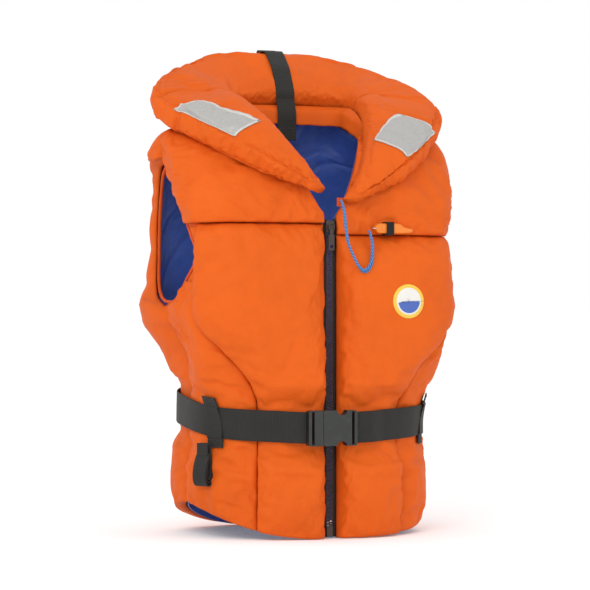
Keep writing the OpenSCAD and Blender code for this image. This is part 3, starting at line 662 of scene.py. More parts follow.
PATCH_WHITE = woven("patch_ground", (0.72, 0.70, 0.66), 0.6, pitch=0.5)

# ------ lanyard
CORD_D = 3.4
ROUTE = np.array([
    [12, -120, 430], [11, -128, 424], [11, -133, 414], [11, -136, 402], [12, -138, 388], [14, -140, 374],
    [20, -141, 360], [26, -142, 348], [33, -142, 341], [40, -142, 343], [45, -141, 352], [47, -139, 364],
    [48, -136, 376], [48, -131, 386], [48, -126, 391],
], float)


def catmull(points, count):
    n = len(points) - 1
    out = []
    for t in np.linspace(0, n, count):
        k = min(n - 1, int(t))
        s = t - k
        b, c = points[k], points[k + 1]
        a = points[k - 1] if k else 2 * b - c
        d = points[k + 2] if k < n - 1 else 2 * c - b
        out.append(spline(a, b, c, d, s))
    return np.array(out)


def tube(name, path, diameter, sides, material, ridge=0.0):
    """A closed round tube along path, with a light braid when ridge is above 0."""
    along = run_of(path)
    t = unit(np.gradient(path, axis=0))
    s = unit(np.cross(t, [0.3, 1, 0.2]))
    u = np.cross(t, s)
    angle = np.linspace(0, 2 * math.pi, sides, endpoint=False)
    bulge = diameter / 2 * (1 + ridge * np.sin(4 * angle[None, :] + along[:, None] * 1.6)
                            * np.sin(4 * angle[None, :] - along[:, None] * 1.6))
    rings = rings_round(path, bulge, angle, s, u)
    return new_object(name, rings.reshape(-1, 3), tube_faces(len(path), sides), material,
                      uv_of(angle * diameter / 2, along[:, None]))


for side, k in (("left", 1), ("right", -1)):
    path = catmull(ROUTE + k * CORD_D * np.array([0.382, 0.515, -0.353]), 120)
    strand = tube(f"lanyard_{side}_cord", path, CORD_D * 0.94, 12, CORD, 0.05)
    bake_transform(strand)
    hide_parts(f"lanyard_{side}_strand")

# ------ grids of the body's panels


def belt_room(a, h):
    """1 away from the belt and 0 under it, where the cover has no room to move out."""
    by_loop = smooth((9 - np.abs(np.minimum(a, 360 - a) - LOOP_A)) / 4)
    half = mix(BELT_W, LOOP_H, by_loop) / 2
    return smooth((np.abs(h - belt_mid(a)) - half - 1) / 16)


def grid(js, nu, lo, hi, seam, rise, thick):
    u = np.broadcast_to(np.linspace(0, 1, nu)[None, :], (len(js), nu))
    j = np.broadcast_to(js[:, None], (len(js), nu))
    a = mix(lo(js)[:, None], hi(js)[:, None], u)
    h = row_h(j, a, seam)
    return skin(a, h, thick(u, j, a), rise), a, h


def even_rows(j0, j1, step, seam, a=30.0):
    """Row numbers from j0 to j1 whose heights are about step mm apart."""
    fine = np.linspace(j0, j1, 400)
    h = np.array([float(row_h(np.float64(j), a, seam)) for j in fine])
    run = np.concatenate([[0], np.cumsum(np.abs(np.diff(h)))])
    return np.interp(np.linspace(0, run[-1], max(6, int(run[-1] / step)) + 1), run, fine)


def edge_pins(shape, sides="lrbt", width=1):
    pins = np.zeros(shape)
    for k in range(width):
        w = 1 - k / width
        if "l" in sides:
            pins[:, k] = np.maximum(pins[:, k], w)
        if "r" in sides:
            pins[:, -1 - k] = np.maximum(pins[:, -1 - k], w)
        if "b" in sides:
            pins[k] = np.maximum(pins[k], w)
        if "t" in sides:
            pins[-1 - k] = np.maximum(pins[-1 - k], w)
    return pins


PANELS = {}
HALF_GAP = 0.2                         # between a seam and the panels on each side of it


def flat_at(depth):
    return lambda u, j, a: np.full(u.shape, depth)


def add_panel(name, js, nu, lo, hi, seam, rise, thick, under, edges, seed, grow, cap, soft=1.0):
    """Adds the cloth of a panel between the edges lo and hi; under is the depth of its back."""
    outer, a, h = grid(js, nu, lo, hi, seam, rise, lambda u, j, a: COVER_IN + thick(u, j, a) + COVER_T)
    inner, _, _ = grid(js, nu, lo, hi, seam, rise, flat_at(under))
    room = belt_room(a, h)
    s, t = arc(outer, 1), arc(outer, 0)
    lazy = soft * (0.9 * noise(seed + 7, s / 70, t / 90) + 0.5 * noise(seed + 8, s / 26 + t / 60, t / 40))
    push = (puckers(outer, edges, seed) + lazy * smooth(s / 15) * smooth((s[:, -1:] - s) / 15)) * room
    start = outer + normals_of(outer) * push[..., None]
    pins = np.maximum(edge_pins(outer.shape[:2]), np.where(np.abs(h - belt_mid(a)) < BELT_W / 2 - 4, 0.9, 0))
    sheet(name, start, pins, grow, 0.35, cap, limit=room * cap + 0.2)
    PANELS[name] = (inner, edges, seed, room)


def front_lo(js):
    return np.full(len(js), a_of_x(FRONT_GAP))


def arm_edge(seam):
    return lambda j: 90 - arm_front(j, seam) - HALF_GAP


def back_lo(j):
    return 90 + arm_back(j, BACK_SEAM) + HALF_GAP


def back_hi(j):
    return 270 - arm_back(j, BACK_SEAM) - HALF_GAP


for side, seed in (("right", 100), ("left", 200)):
    seam, rise = SEAM_Z[side], RISE[side]
    add_panel(f"{side}_front_panel", even_rows(0, ROW_SEAM, 6.0, seam), 34, front_lo,
              lambda j, q=seam: front_side(j, q) - HALF_GAP, seam, rise,
              lambda u, j, a, q=seam: pillow_t(u, j, a, q), COVER_IN + EASE,
              {"left": (1.3, 14, 17), "right": (2.2, 20, 15), "top": (2.0, 16, 17), "bottom": (3.0, 30, 26)},
              seed, grow=0.02, cap=4)
    add_panel(f"{side}_gusset_panel", even_rows(0, ROW_ARM + 2, 6.0, seam), 22,
              lambda j, q=seam: front_side(j, q) + HALF_GAP,
              lambda j, q=seam: np.maximum(front_side(j, q) + 2, arm_edge(q)(j)), seam, rise,
              lambda u, j, a, q=seam: side_t(u, j, a, q), COVER_IN + 4 * EASE,
              {"left": (3.0, 45, 22), "right": (2.6, 30, 24), "top": (2.2, 26, 14), "bottom": (2.2, 26, 24)},
              seed + 20, grow=0.05, cap=6, soft=1.6)
    add_panel(f"{side}_yoke_panel", even_rows(ROW_SEAM + 0.03, ROW_TOP, 5.5, seam), 34,
              lambda j, q=seam: a_of_x(neck_x(j, q)), arm_edge(seam), seam, rise,
              lambda u, j, a: yoke_t(u, (j - ROW_SEAM) / (ROW_TOP - ROW_SEAM)), COVER_IN + EASE,
              {"left": (1.4, 24, 22), "right": (2.2, 24, 16), "bottom": (2.0, 22, 18)},
              seed + 40, grow=0.045, cap=5, soft=1.5)

back_rows = even_rows(0, ROW_TOP, 8.0, BACK_SEAM, 180.0)
add_panel("back_panel", back_rows, 64, back_lo, back_hi, BACK_SEAM, RISE["left"], back_t, COVER_IN + 3 * EASE,
          {"left": (2.4, 26, 20), "right": (2.4, 26, 20), "top": (1.5, 20, 20), "bottom": (2.4, 26, 24)},
          300, grow=0.02, cap=5, soft=1.6)

# ------ collar: a horseshoe from tip to tip
INNER_EDGE = np.array([[14, -124, 443], [36, -112, 474], [62, -76, 516], [78, -34, 546],
                       [84, 8, 560], [80, 36, 564], [52, 54, 566], [0, 60, 567]], float)
OUTER_EDGE = np.array([[34, -134, 448], [80, -128, 468], [128, -104, 494], [176, -58, 526],
                       [COLLAR_HALF, -6, 552], [COLLAR_HALF - 26, 54, 588],
                       [COLLAR_HALF * 0.46, COLLAR_BACK - 14, COLLAR_Z - 10],
                       [0, COLLAR_BACK, COLLAR_Z]], float)
HALF_T = np.array([6, 15, 20, 22, 22, 22, 22, 22], float)[:, None]


def curve_at(points, t):
    n = len(points) - 1
    k = np.minimum(n - 1, np.floor(t * n).astype(int))
    s = (t * n - k)[..., None]
    b, c = points[k], points[k + 1]
    a = np.where((k > 0)[..., None], points[np.maximum(k - 1, 0)], 2 * b - c)
    d = np.where((k < n - 1)[..., None], points[np.minimum(k + 2, n)], 2 * c - b)
    return spline(a, b, c, d, s)


def collar_skin(t, s, shrink):
    t, s = np.broadcast_arrays(np.asarray(t, float), np.asarray(s, float))
    p, q = curve_at(INNER_EDGE, t), curve_at(OUTER_EDGE, t)
    t0, t1 = np.maximum(0, t - 0.01), np.minimum(1, t + 0.01)
    along = unit(curve_at(INNER_EDGE, t1) + curve_at(OUTER_EDGE, t1) - curve_at(INNER_EDGE, t0)
                 - curve_at(OUTER_EDGE, t0))
    across = (q - p) / 2
    up = unit(np.cross(q - p, along)) * curve_at(HALF_T, t)
    w, n = np.linalg.norm(across, axis=-1, keepdims=True), np.linalg.norm(up, axis=-1, keepdims=True)
    k = lambda v: (np.sign(v) * np.abs(v) ** 0.62)[..., None]
    return (p + q) / 2 - across * k(cosd(s)) * (w - shrink) / w + up * k(sind(s)) * (n - shrink) / n


def collar_at(g, s, shrink=0.0):
    """g runs from 0 at the left tip, over 1 behind the head, to 2 at the right tip."""
    g, s = np.broadcast_arrays(np.asarray(g, float), np.asarray(s, float))
    right = g > 1
    t = np.where(right, 2 - g, g)
    p = collar_skin(t, s, shrink)
    sag = LEFT_SAG * (1 - smooth((t - 0.25) / (FOLD_T - 0.25)))
    x = np.where(right, -p[..., 0], p[..., 0] * LEFT_NARROW)
    return np.stack([x, p[..., 1], p[..., 2] - np.where(right, 0, sag)], -1)


WALL_TOP, WALL_LOW = 143, 219          # the seams along the collar's side wall, as angles round its section
SECTION = np.concatenate([np.linspace(0, 60, 8)[:-1], np.linspace(60, WALL_TOP, 16)[:-1],
                          np.linspace(WALL_TOP, WALL_LOW, 14)[:-1], np.linspace(WALL_LOW, 300, 14)[:-1],
                          np.linspace(300, 360, 8)])[::-1]
ALONG = np.linspace(0, 2, 281)
g_grid, s_grid = np.meshgrid(ALONG, SECTION)
collar_grid = collar_at(g_grid, s_grid)
t_grid = 1 - np.abs(1 - g_grid)
run = arc(collar_grid, 1)
seam_near = np.exp(-(np.abs(s_grid - WALL_TOP) / 7) ** 2) + np.exp(-(np.abs(s_grid - WALL_LOW) / 7) ** 2)
fold_near = np.exp(-(np.abs(t_grid - FOLD_T) / 0.010) ** 2)
wall = smooth((s_grid - WALL_TOP) / 8) * smooth((WALL_LOW - s_grid) / 8)
run_mid = run[len(SECTION) // 2][None, :] + 0 * s_grid
wall_folds = 2.6 * wall * (noise(401, run_mid / 13, s_grid / 90)
                           + 0.6 * noise(402, run_mid / 6.5, s_grid / 50))
top_folds = ((1.5 * noise(403, run_mid / 15, s_grid / 40) + 0.7 * noise(404, run_mid / 8, s_grid / 30))
             * np.exp(-np.maximum(0, WALL_TOP - s_grid) / 22) * (s_grid < WALL_TOP)
             + 1.1 * noise(405, run_mid / 45, s_grid / 40))
under_folds = 1.6 * noise(406, run_mid / 14, s_grid / 40) * np.exp(-np.maximum(0, s_grid - WALL_LOW) / 26) * (
    s_grid > WALL_LOW)
calm = np.where(t_grid > FOLD_T, 0.3, 0.85)
collar_push = calm * (wall_folds + top_folds + under_folds) - 2.6 * seam_near - 4 * fold_near
tip = smooth(t_grid / 0.06)
collar_start = collar_grid + normals_of(collar_grid) * (collar_push * tip)[..., None]
pins = np.maximum.reduce([edge_pins(g_grid.shape), (seam_near > 0.9) * 1.0, (fold_near > 0.8) * 0.7,
                          (s_grid < 2) * 1.0, (s_grid > 358) * 1.0])
sheet("collar", collar_start, pins, 0.035, 0.3, 5)

# ------ linings
for side in ("right", "left"):
    seam = SEAM_Z[side]
    lining_lo = lambda j, q=seam: np.where(j < ROW_SEAM, a_of_x(FRONT_GAP), a_of_x(neck_x(j, q)))
    PANELS[f"{side}_lining_cloth"] = grid(even_rows(0, ROW_TOP, 8.0, seam), 44, lining_lo, arm_edge(seam),
                                          seam, RISE[side], flat_at(LINING_T))
PANELS["back_lining_cloth"] = grid(back_rows, 80, back_lo, back_hi, BACK_SEAM, RISE["left"],
                                   flat_at(LINING_T))

settled = settle()

# ------ panels from the settled cloth
FINAL = {}
REPLACED = {"front_panel": ("front_foam", "front_cover"), "gusset_panel": ("side_gusset",),
            "yoke_panel": ("yoke",)}
for name in [s["name"] for s in SHEETS if s["name"] != "collar"]:
    inner, edges, seed, room = PANELS[name]
    outer, inner, room = finer(settled[name]), finer(inner), finer(room)
    fine = {k: (v[0] * 0.28, v[1] * 0.7, v[2] * 0.45) for k, v in edges.items()}
    push = puckers(outer, fine, seed + 11) * room
    outer = outer + normals_of(outer) * push[..., None]
    outer, inner = on_side(name.split("_")[0], outer, inner)
    FINAL[name] = outer
    o = slab(name, outer, inner, SHELL)
    if name == "back_panel":
        finish_piece(o, "jacket", "shell_fabric", "back_foam", "back_cover", fill=0.8)
    else:
        side, kind = name.split("_", 1)
        finish_piece(o, "jacket", "shell_fabric", *[f"{side}_{n}" for n in REPLACED[kind]],
                     fill=0.8 if kind == "front_panel" else 0.5)

for name, (outer, *_) in PANELS.items():
    if not name.endswith("lining_cloth"):
        continue
    p = finer(outer, 3)
    s, t = arc(p, 1), arc(p, 0)
    seed = 500 + len(name)
    slant = (s + t * 0.8) / 34
    folds = (2.4 * np.abs(noise(seed, slant, t / 120)) + 1.4 * np.abs(noise(seed + 1, slant * 2.1, t / 70)))
    edge = smooth(s / 10) * smooth((s[:, -1:] - s) / 10) * smooth(t / 10) * smooth((t[-1:] - t) / 10)
    n = normals_of(p)
    inner = p - n * ((LINING_T + folds * edge)[..., None])
    p, inner = on_side(name.split("_")[0], p, inner)
    o = slab(name, p, inner, LINING)
    finish_piece(o, "jacket", "lining_satin",
                 "back_lining" if name.startswith("back") else name.replace("lining_cloth", "front_lining"))

# ------ collar pieces
collar_final = finer(settled["collar"])
n_rows, n_cols = collar_final.shape[:2]
g_fine = np.linspace(0, 2, n_cols)
s_fine = finer(s_grid)[:, 0]
push = (0.7 * noise(421, run_mid.max() * g_fine[None, :] / 2 / 6, s_fine[:, None] / 60)
        * np.exp(-(np.abs(s_fine[:, None] - (WALL_TOP + WALL_LOW) / 2) / 45) ** 2))
collar_final = collar_final + normals_of(collar_final) * push[..., None]
collar_final[0] = collar_final[-1] = (collar_final[0] + collar_final[-1]) / 2


def closed_loop(name, p, material):
    """A closed piece from a grid whose first and last rows are the same line, with its two ends capped."""
    nv, nu = p.shape[0] - 1, p.shape[1]
    faces = []
    for j in range(nv):
        k = (j + 1) % nv
        faces += [[j * nu + i, j * nu + i + 1, k * nu + i + 1, k * nu + i] for i in range(nu - 1)]
    points = p[:-1].reshape(-1, 3)
    mid0, mid1 = p[:-1, 0].mean(0), p[:-1, -1].mean(0)
    c0, c1 = len(points), len(points) + 1
    for j in range(nv):
        k = (j + 1) % nv
        faces.append([j * nu, k * nu, c0])
        faces.append([k * nu + nu - 1, j * nu + nu - 1, c1])
    uv = np.concatenate([uv_of(arc(p, 1)[:-1], arc(p, 0)[:-1]), [[0, 0], [0, 0]]])
    return new_object(name, np.concatenate([points, [mid0, mid1]]), faces, material, uv)


i_left = int(round(FOLD_T / 2 * (n_cols - 1)))
i_right = n_cols - 1 - i_left
for name, lo, hi, gone in (
        ("left_lapel", 0, i_left, ["left_lapel_top", "left_lapel_wall", "left_lapel_foam"]),
        ("collar_back", i_left, i_right, ["collar_inner_panel", "collar_outer_panel", "collar_foam"]),
        ("right_lapel", i_right, n_cols - 1, ["right_lapel_top", "right_lapel_wall", "right_lapel_foam"])):
    o = closed_loop(name, collar_final[:, lo:hi + 1], SHELL)
    finish_piece(o, "jacket", "shell_fabric", *gone, fill=0.7)


# ------ webbing
def webbing(name, centre, across, normal, width, thickness, material, waves=0.0):
    """A flat strap: centre line, direction across it and its outward normal for each point, all in mm."""
    v = np.array([-1, -0.985, -0.93, -0.5, 0, 0.5, 0.93, 0.985, 1])
    edge = np.array([0.0, 0.7, 1, 1, 1, 1, 1, 0.7, 0.0])
    along = run_of(centre)[:, None]
    ripple = waves * noise(61, along / 30, v[None, :] * 1.3 + 5)
    mid = (centre[:, None] + across[:, None] * (v * width / 2)[None, :, None]
           + normal[:, None] * ripple[..., None])
    half = (thickness / 2 * (0.35 + 0.65 * edge))[None, :, None] * normal[:, None]
    return between(name, mid + half, mid - half, material, uv_of((v * width / 2)[None, :], along))


def strap(name, node, centre, across, width, thickness=WEB_T, material=WEBBING, body="jacket",
          slot="webbing", out=1):
    """A strap whose outward side is worked out from its centre line and the direction across it."""
    across = np.repeat(np.array([across], float), len(centre), 0)
    normal = unit(np.cross(across, np.gradient(centre, axis=0)) * out)
    o = webbing(name, centre, across, normal, width, thickness, material)
    return finish_piece(o, body, slot, node)


THREAD_SECTIONS = ((-0.5, 0.35), (-0.25, 1.0), (0.25, 1.0), (0.5, 0.35))


def stitches(name, paths, pitch=3.2, length=2.2, thick=0.55, sides=6):
    """Rows of dark thread: each path is its points and their outward normals."""
    points, faces = [], []
    for path, normal in paths:
        path, normal = np.asarray(path, float), np.asarray(normal, float)
        run = run_of(path)
        count = max(2, int(run[-1] / pitch))
        for k in range(count):
            at = (k + 0.5) * run[-1] / count
            here = at_run(path, run, at)
            up = unit(at_run(normal, run, at))
            t = unit(at_run(path, run, min(at + 1, run[-1])) - at_run(path, run, max(at - 1, 0)))
            s = unit(np.cross(up, t))
            start = len(points)
            for x, r in THREAD_SECTIONS:
                for a in np.arange(sides) * math.pi / 3:
                    round_it = (s * math.cos(a) + up * math.sin(a)) * r * thick / 2
                    points.append(here + t * x * length + round_it)
            faces += [[start + i for i in face[::-1]] for face in tube_faces(len(THREAD_SECTIONS), sides)]
    return finish_piece(new_object(name, np.array(points), faces, DARK_THREAD), "jacket", "webbing")


BUCKLE_Y = -(FRONT_D + BELT_OFF + WEB_T + BUCKLE_T / 2)
PLUG_END, SOCKET_END = SEAM_X - PLUG_L, SEAM_X + SOCKET_L


def belt_lift(a):
    x = np.abs(FRONT_D * np.tan(np.radians(a)))
    near_buckle = smooth((72 - x) / 28)
    return np.where(cosd(a) > 0, mix(BELT_OFF, -BUCKLE_Y - FRONT_D - WEB_T / 2, near_buckle), BELT_OFF)


def belt_line(a0, a1, count):
    a = np.linspace(a0, a1, count)
    mid = belt_mid(a)
    low, high = (skin(a, mid + k * BELT_W / 2, belt_lift(a), RISE["left"]) for k in (-1, 1))
    across = unit(high - low)
    normal = unit(np.cross(np.gradient((low + high) / 2, axis=0), across))
    return (low + high) / 2 + normal * WEB_T / 2, across, normal


def belt_a(x):
    a = float(a_of_x(x))
    p = skin(np.array(a), belt_mid(a), belt_lift(np.array(a)), RISE["left"])
    return float(a_of_x(2 * x - p[0]))


def piece_of_belt(name, a0, a1, count, node, flip=False):
    c, s, n = belt_line(a0, a1, count)
    if flip:
        c, s, n = ((v * MIRROR)[::-1] for v in (c, s, n))
    o = webbing(name, c, s, n, BELT_W, WEB_T, WEBBING, 0.35)
    return finish_piece(o, "jacket", "webbing", node)


piece_of_belt("belt_round_back", LOOP_A, 360 - LOOP_A, 200, "belt_back")
piece_of_belt("belt_to_socket", belt_a(SOCKET_END + 2 * EASE), LOOP_A - 0.3, 90, "belt_front_left")
right_belt = piece_of_belt("belt_to_plug", belt_a(2 * EASE - PLUG_END), LOOP_A - 0.3, 90,
                           "belt_front_right", True)
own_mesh(right_belt)

# belt loops: a short strap over the belt, stitched down above and below it
STITCH_IN, THREAD_UP = 9, WEB_T / 2 + 0.15
for side, sign in SIDES:
    v = np.concatenate([np.linspace(-1, -0.68, 7), np.linspace(-0.62, 0.62, 31), np.linspace(0.68, 1, 7)])
    lift = BELT_OFF + WEB_T / 2 + (WEB_T + EASE) * smooth((0.68 - np.abs(v)) / 0.06)
    mid = float(belt_mid(LOOP_A))
    a = np.full(len(v), float(LOOP_A))
    h = mid + v * LOOP_H / 2
    c = skin(a, h, lift, RISE[side])
    s = unit(skin(a + 1, h, lift, RISE[side]) - skin(a - 1, h, lift, RISE[side]))
    n = outward(a, h, RISE[side])
    if sign < 0:
        c, s, n = c * MIRROR, -s * MIRROR, n * MIRROR
    o = webbing(f"{side}_keeper_loop", c, -s, n, LOOP_W, WEB_T, WEBBING)
    finish_piece(o, "jacket", "webbing", f"{side}_belt_loop")
    rows = []
    for part in (slice(0, 7), slice(-7, None)):
        q, across, up = c[part], s[part], n[part]
        for w in (-STITCH_IN, STITCH_IN):
            rows.append((q + across * w + up * THREAD_UP, up))
        for k in (0, -1):
            inset = (q[1] - q[0]) * (0.6 if k == 0 else -0.6)
            line = [q[k] + inset + across[k] * w + up[k] * THREAD_UP
                    for w in np.linspace(-STITCH_IN, STITCH_IN, 5)]
            rows.append((line, [up[k]] * 5))
        for w in (-STITCH_IN, STITCH_IN):
            cross = np.linspace(q[0] + across[0] * w, q[-1] - across[-1] * w, 5) + up[3] * THREAD_UP
            rows.append((cross, [up[3]] * 5))
    stitches(f"{side}_keeper_stitching", rows)


# ------ pieces that lie on the collar
def on_collar(g, s, off):
    """Point of the finished collar at g, s, moved out by off, and the outward normal there."""
    g, s = np.broadcast_arrays(np.asarray(g, float), np.asarray(s, float))
    i = np.clip(g / 2 * (n_cols - 1), 0, n_cols - 1.001)
    order = s_fine[::-1]
    j = (n_rows - 1) - np.interp(s, order, np.arange(n_rows))
    j = np.clip(j, 0, n_rows - 1.001)
    i0, j0 = np.floor(i).astype(int), np.floor(j).astype(int)
    fi, fj = (i - i0)[..., None], (j - j0)[..., None]
    look = lambda q: mix(mix(q[j0, i0], q[j0, i0 + 1], fi), mix(q[j0 + 1, i0], q[j0 + 1, i0 + 1], fi), fj)
    n = unit(look(COLLAR_NORMALS))
    return look(collar_final) + n * off, n


def blurred(p, times):
    q = p.copy()
    for _ in range(times):
        q[1:-1] = (q[:-2] + 2 * q[1:-1] + q[2:]) / 4
        q[:, 1:-1] = (q[:, :-2] + 2 * q[:, 1:-1] + q[:, 2:]) / 4
    return q


COLLAR_NORMALS = unit(blurred(normals_of(collar_final), 6))

TAPE_CORNERS = {"right": np.array([[0.30, 140], [0.48, 160], [0.48, 100], [0.30, 85]]),
                "left": np.array([[0.245, 125], [0.405, 160], [0.415, 88], [0.27, 55]])}
for side, corners in TAPE_CORNERS.items():
    u, v = np.linspace(0, 1, 60)[None, :, None], np.linspace(0, 1, 40)[:, None, None]
    place = mix(mix(corners[0], corners[1], u), mix(corners[3], corners[2], u), v)
    if side == "right":
        place = place[:, ::-1]
    g = 2 - place[..., 0] if side == "right" else place[..., 0]
    top, n = on_collar(g, place[..., 1], 1.4)
    low, _ = on_collar(g, place[..., 1], 0.2)
    top = blurred(top, 3)
    o = slab(f"{side}_tape_panel", top, low, REFLECTOR)
    finish_piece(o, "jacket", "reflective_tape", f"{side}_reflective_tape")
    # woven border round the tape
    whole, first, last = slice(None), slice(0, 3), slice(-3, None)
    for k, (rows, cols) in enumerate(((first, whole), (last, whole), (whole, first), (whole, last))):
        p, q = top[rows, cols], n[rows, cols]
        border = slab(f"{side}_tape_border_{k}", p + q * 0.3, p - q * 0.2, BORDER)
        finish_piece(border, "jacket", "reflective_tape")

# strap over the back of the collar
c, _ = on_collar(np.ones(60), np.linspace(175, 14, 60), 1.6 + WEB_T / 2)
c[:, 0] = 0
inner_at = collar_skin(np.array(1.0), np.array(0.0), 0)
tail = [[0, inner_at[1] - 15.2, inner_at[2] - drop] for drop in (14, 30, 50)]
c = np.concatenate([c, catmull(np.array([c[-1], *tail]), 30)[1:]])
c = catmull(c[::4], 130)
strap("collar_webbing", "collar_strap", c, (1, 0, 0), 26)
e = c[-1]
ends = [((w, 2), (w, 16)) for w in (-10, 10)] + [((-10, z), (10, z)) for z in (2, 16)]
stitches("collar_webbing_stitching",
         [([[x, e[1] - 1.1, e[2] + z] for x, z in line], [[0, -1, 0]] * 2) for line in ends])

# orange band inside the neck, between the collar and the lining
half_band = np.linspace(0.40, 1, 70)
t = np.concatenate([half_band, half_band[::-1][1:]])
on_left = np.arange(len(t)) < len(half_band)
p = collar_skin(t, np.zeros(len(t)), 0)
p[:, 0] *= np.where(on_left, LEFT_NARROW, -1)
p[:, 2] -= np.where(on_left, LEFT_SAG * (1 - smooth((t - 0.25) / (FOLD_T - 0.25))), 0)
inward = smooth((t - 0.36) / 0.22)


def neck_ring(k, down):
    share = 1 - (1 - k) * inward
    fold = 0.6 * noise(71, arc(p[None], 1)[0] / 12) * (down > 1)
    return np.stack([p[:, 0] * share, p[:, 1] * share, p[:, 2] - 2 - down + fold], -1)


steps = [(0.80, 26), (0.803, 20), (0.81, 14), (0.82, 8), (0.87, 4), (0.94, 0)]
inner = np.array([neck_ring(k, d) for k, d in steps])
outer = np.array([neck_ring(k + 0.02, d) for k, d in steps])
o = slab("neck_band_cloth", finer(outer[:, ::-1]), finer(inner[:, ::-1]), SHELL)
finish_piece(o, "jacket", "shell_fabric", "neck_band")

# ------ turned-in cloth behind the seams, in darker orange: painted shade in the gaps between panels
def seam_strip(name, a, h, wide_a, wide_h, side, depth=COVER_IN):
    """A strip of shell cloth under a seam, in darker orange as painted shade in the gap between panels; a and
    h run along it, wide_a or wide_h is its half width.
    """
    rows_a, rows_h = np.stack([a - wide_a, a + wide_a]), np.stack([h - wide_h, h + wide_h])
    if wide_a:
        rows_a, rows_h = rows_a[::-1], rows_h[::-1]
    low = skin(rows_a, rows_h, np.full(rows_a.shape, depth - 0.9), RISE[side])
    top = skin(rows_a, rows_h, np.full(rows_a.shape, depth + 0.2), RISE[side])
    finish_piece(slab(name, *on_side(side, top, low), BINDING_AND_SEAM_SHADE), "jacket", "shell_fabric")


for side in ("right", "left"):
    seam = SEAM_Z[side]
    lo, hi = float(a_of_x(FRONT_GAP + 1)), float(90 - arm_front(np.array(float(ROW_SEAM)), seam)) - 1
    seam_strip(f"{side}_chest_seam_strip", np.linspace(lo, hi, 60), np.full(60, float(height_at(seam))),
               0, 4, side)
    for place, j0, j1, count, half in (("side", 0.3, ROW_SEAM - 0.3, 80, 2.2),
                                       ("flank", 0.1, ROW_ARM, 80, 1.6),
                                       ("shoulder", ROW_ARM_TOP, ROW_TOP, 20, 1.6)):
        js = np.linspace(j0, j1, count)
        a = front_side(js, seam) if place == "side" else np.full(count, 90.0)
        seam_strip(f"{side}_{place}_seam_strip", a, row_h(js, a, seam), half, 0, side)
    js = np.linspace(ROW_ARM + 1.2, ROW_SEAM + 0.4, 26)
    top, low = (grid(js, 12, lambda j, q=seam: front_side(j, q) - 1.5, arm_edge(seam), seam, RISE[side],
                     flat_at(depth))[0] for depth in (COVER_IN - 0.1, LINING_T + 0.2))
    facing = slab(f"{side}_armhole_facing", *on_side(side, top, low), SHELL)
    finish_piece(facing, "jacket", "shell_fabric")

# ------ armhole bindings
for side, sign in SIDES:
    seam, rise = SEAM_Z[side], RISE[side]
    up = np.linspace(ROW_ARM, ROW_ARM_TOP, 90)
    down = up[::-1][1:-1]
    rim_points = np.concatenate([
        skin(a, row_h(j, 90.0, seam), np.full(len(j), LINING_T), rise)
        for j, a in ((up, 90 - arm_front(up, seam)), (down, 90 + arm_back(down, seam)))])
    middle = np.array([rim_points[0][0], 0, (ARM_Z + ARM_TOP_Z) / 2])
    path = rim_points + unit(middle - rim_points) * (2.5 + 3 * EASE)
    run_b = run_of(path)
    count, sides = 260, 10
    at = np.linspace(0, run_b[-1], count)
    path = at_run(path, run_b, at)
    for _ in range(3):
        path = (np.roll(path, 1, 0) + 2 * path + np.roll(path, -1, 0)) / 4
    path += unit(middle - path) * 0.4
    if sign < 0:
        path = path * MIRROR
    t = unit(np.roll(path, -1, 0) - np.roll(path, 1, 0))
    s1 = unit(np.cross(t, [1.0, 0, 0]))
    s2 = np.cross(t, s1)
    angle = np.linspace(0, 2 * math.pi, sides, endpoint=False)
    r = 2.3 * (1 + 0.12 * noise(81, np.arange(count)[:, None] / 2.2, angle[None] * 2))
    r[0] = r[-1]
    o = new_object(f"{side}_armhole_piping", rings_round(path, r, angle, s1, s2).reshape(-1, 3),
                   tube_faces(count, sides, closed=True), BINDING_AND_SEAM_SHADE, uv_of(angle * 2.5, at[:, None]))
    finish_piece(o, "jacket", "shell_fabric", f"{side}_armhole_binding")

# ------ zip
ZIP_Y, ZIP_TOP, END_BOX_H = -(FRONT_D + 4), NECK_Z - 5, 14
TEETH_OUT = TEETH_GAP + TEETH_W
PITCH, TOOTH_H = 3.3, 1.9


def box_parts(boxes, name, material, bevel=0.0):
    """Boxes given by their low and high corners, as one mesh with chamfered edges."""
    points, faces = [], []
    for lo, hi in boxes:
        lo, hi = np.array(lo, float), np.array(hi, float)
        b = min(bevel, *((hi - lo) * 0.45))
        start = len(points)
        for z, inset in ((0, b), (b, 0), (hi[2] - lo[2] - b, 0), (hi[2] - lo[2], b)):
            ring = [(lo[0] + inset, lo[1] + b), (lo[0] + b, lo[1] + inset), (hi[0] - b, lo[1] + inset),
                    (hi[0] - inset, lo[1] + b), (hi[0] - inset, hi[1] - b), (hi[0] - b, hi[1] - inset),
                    (lo[0] + b, hi[1] - inset), (lo[0] + inset, hi[1] - b)]
            points += [[x, y, lo[2] + z] for x, y in ring]
        faces += [[start + i for i in face] for face in tube_faces(4, 8)]
    return new_object(name, np.array(points), faces, material, flat=True)


def zip_box(sign, near, far, inset, z0, z1):
    """Corners of a box of the zip from near to far of the middle; inset makes it thinner on both faces."""
    x0, x1 = sorted((sign * near, sign * far))
    half = TEETH_T / 2 - inset
    return (x0, ZIP_Y - half, z0), (x1, ZIP_Y + half, z1)


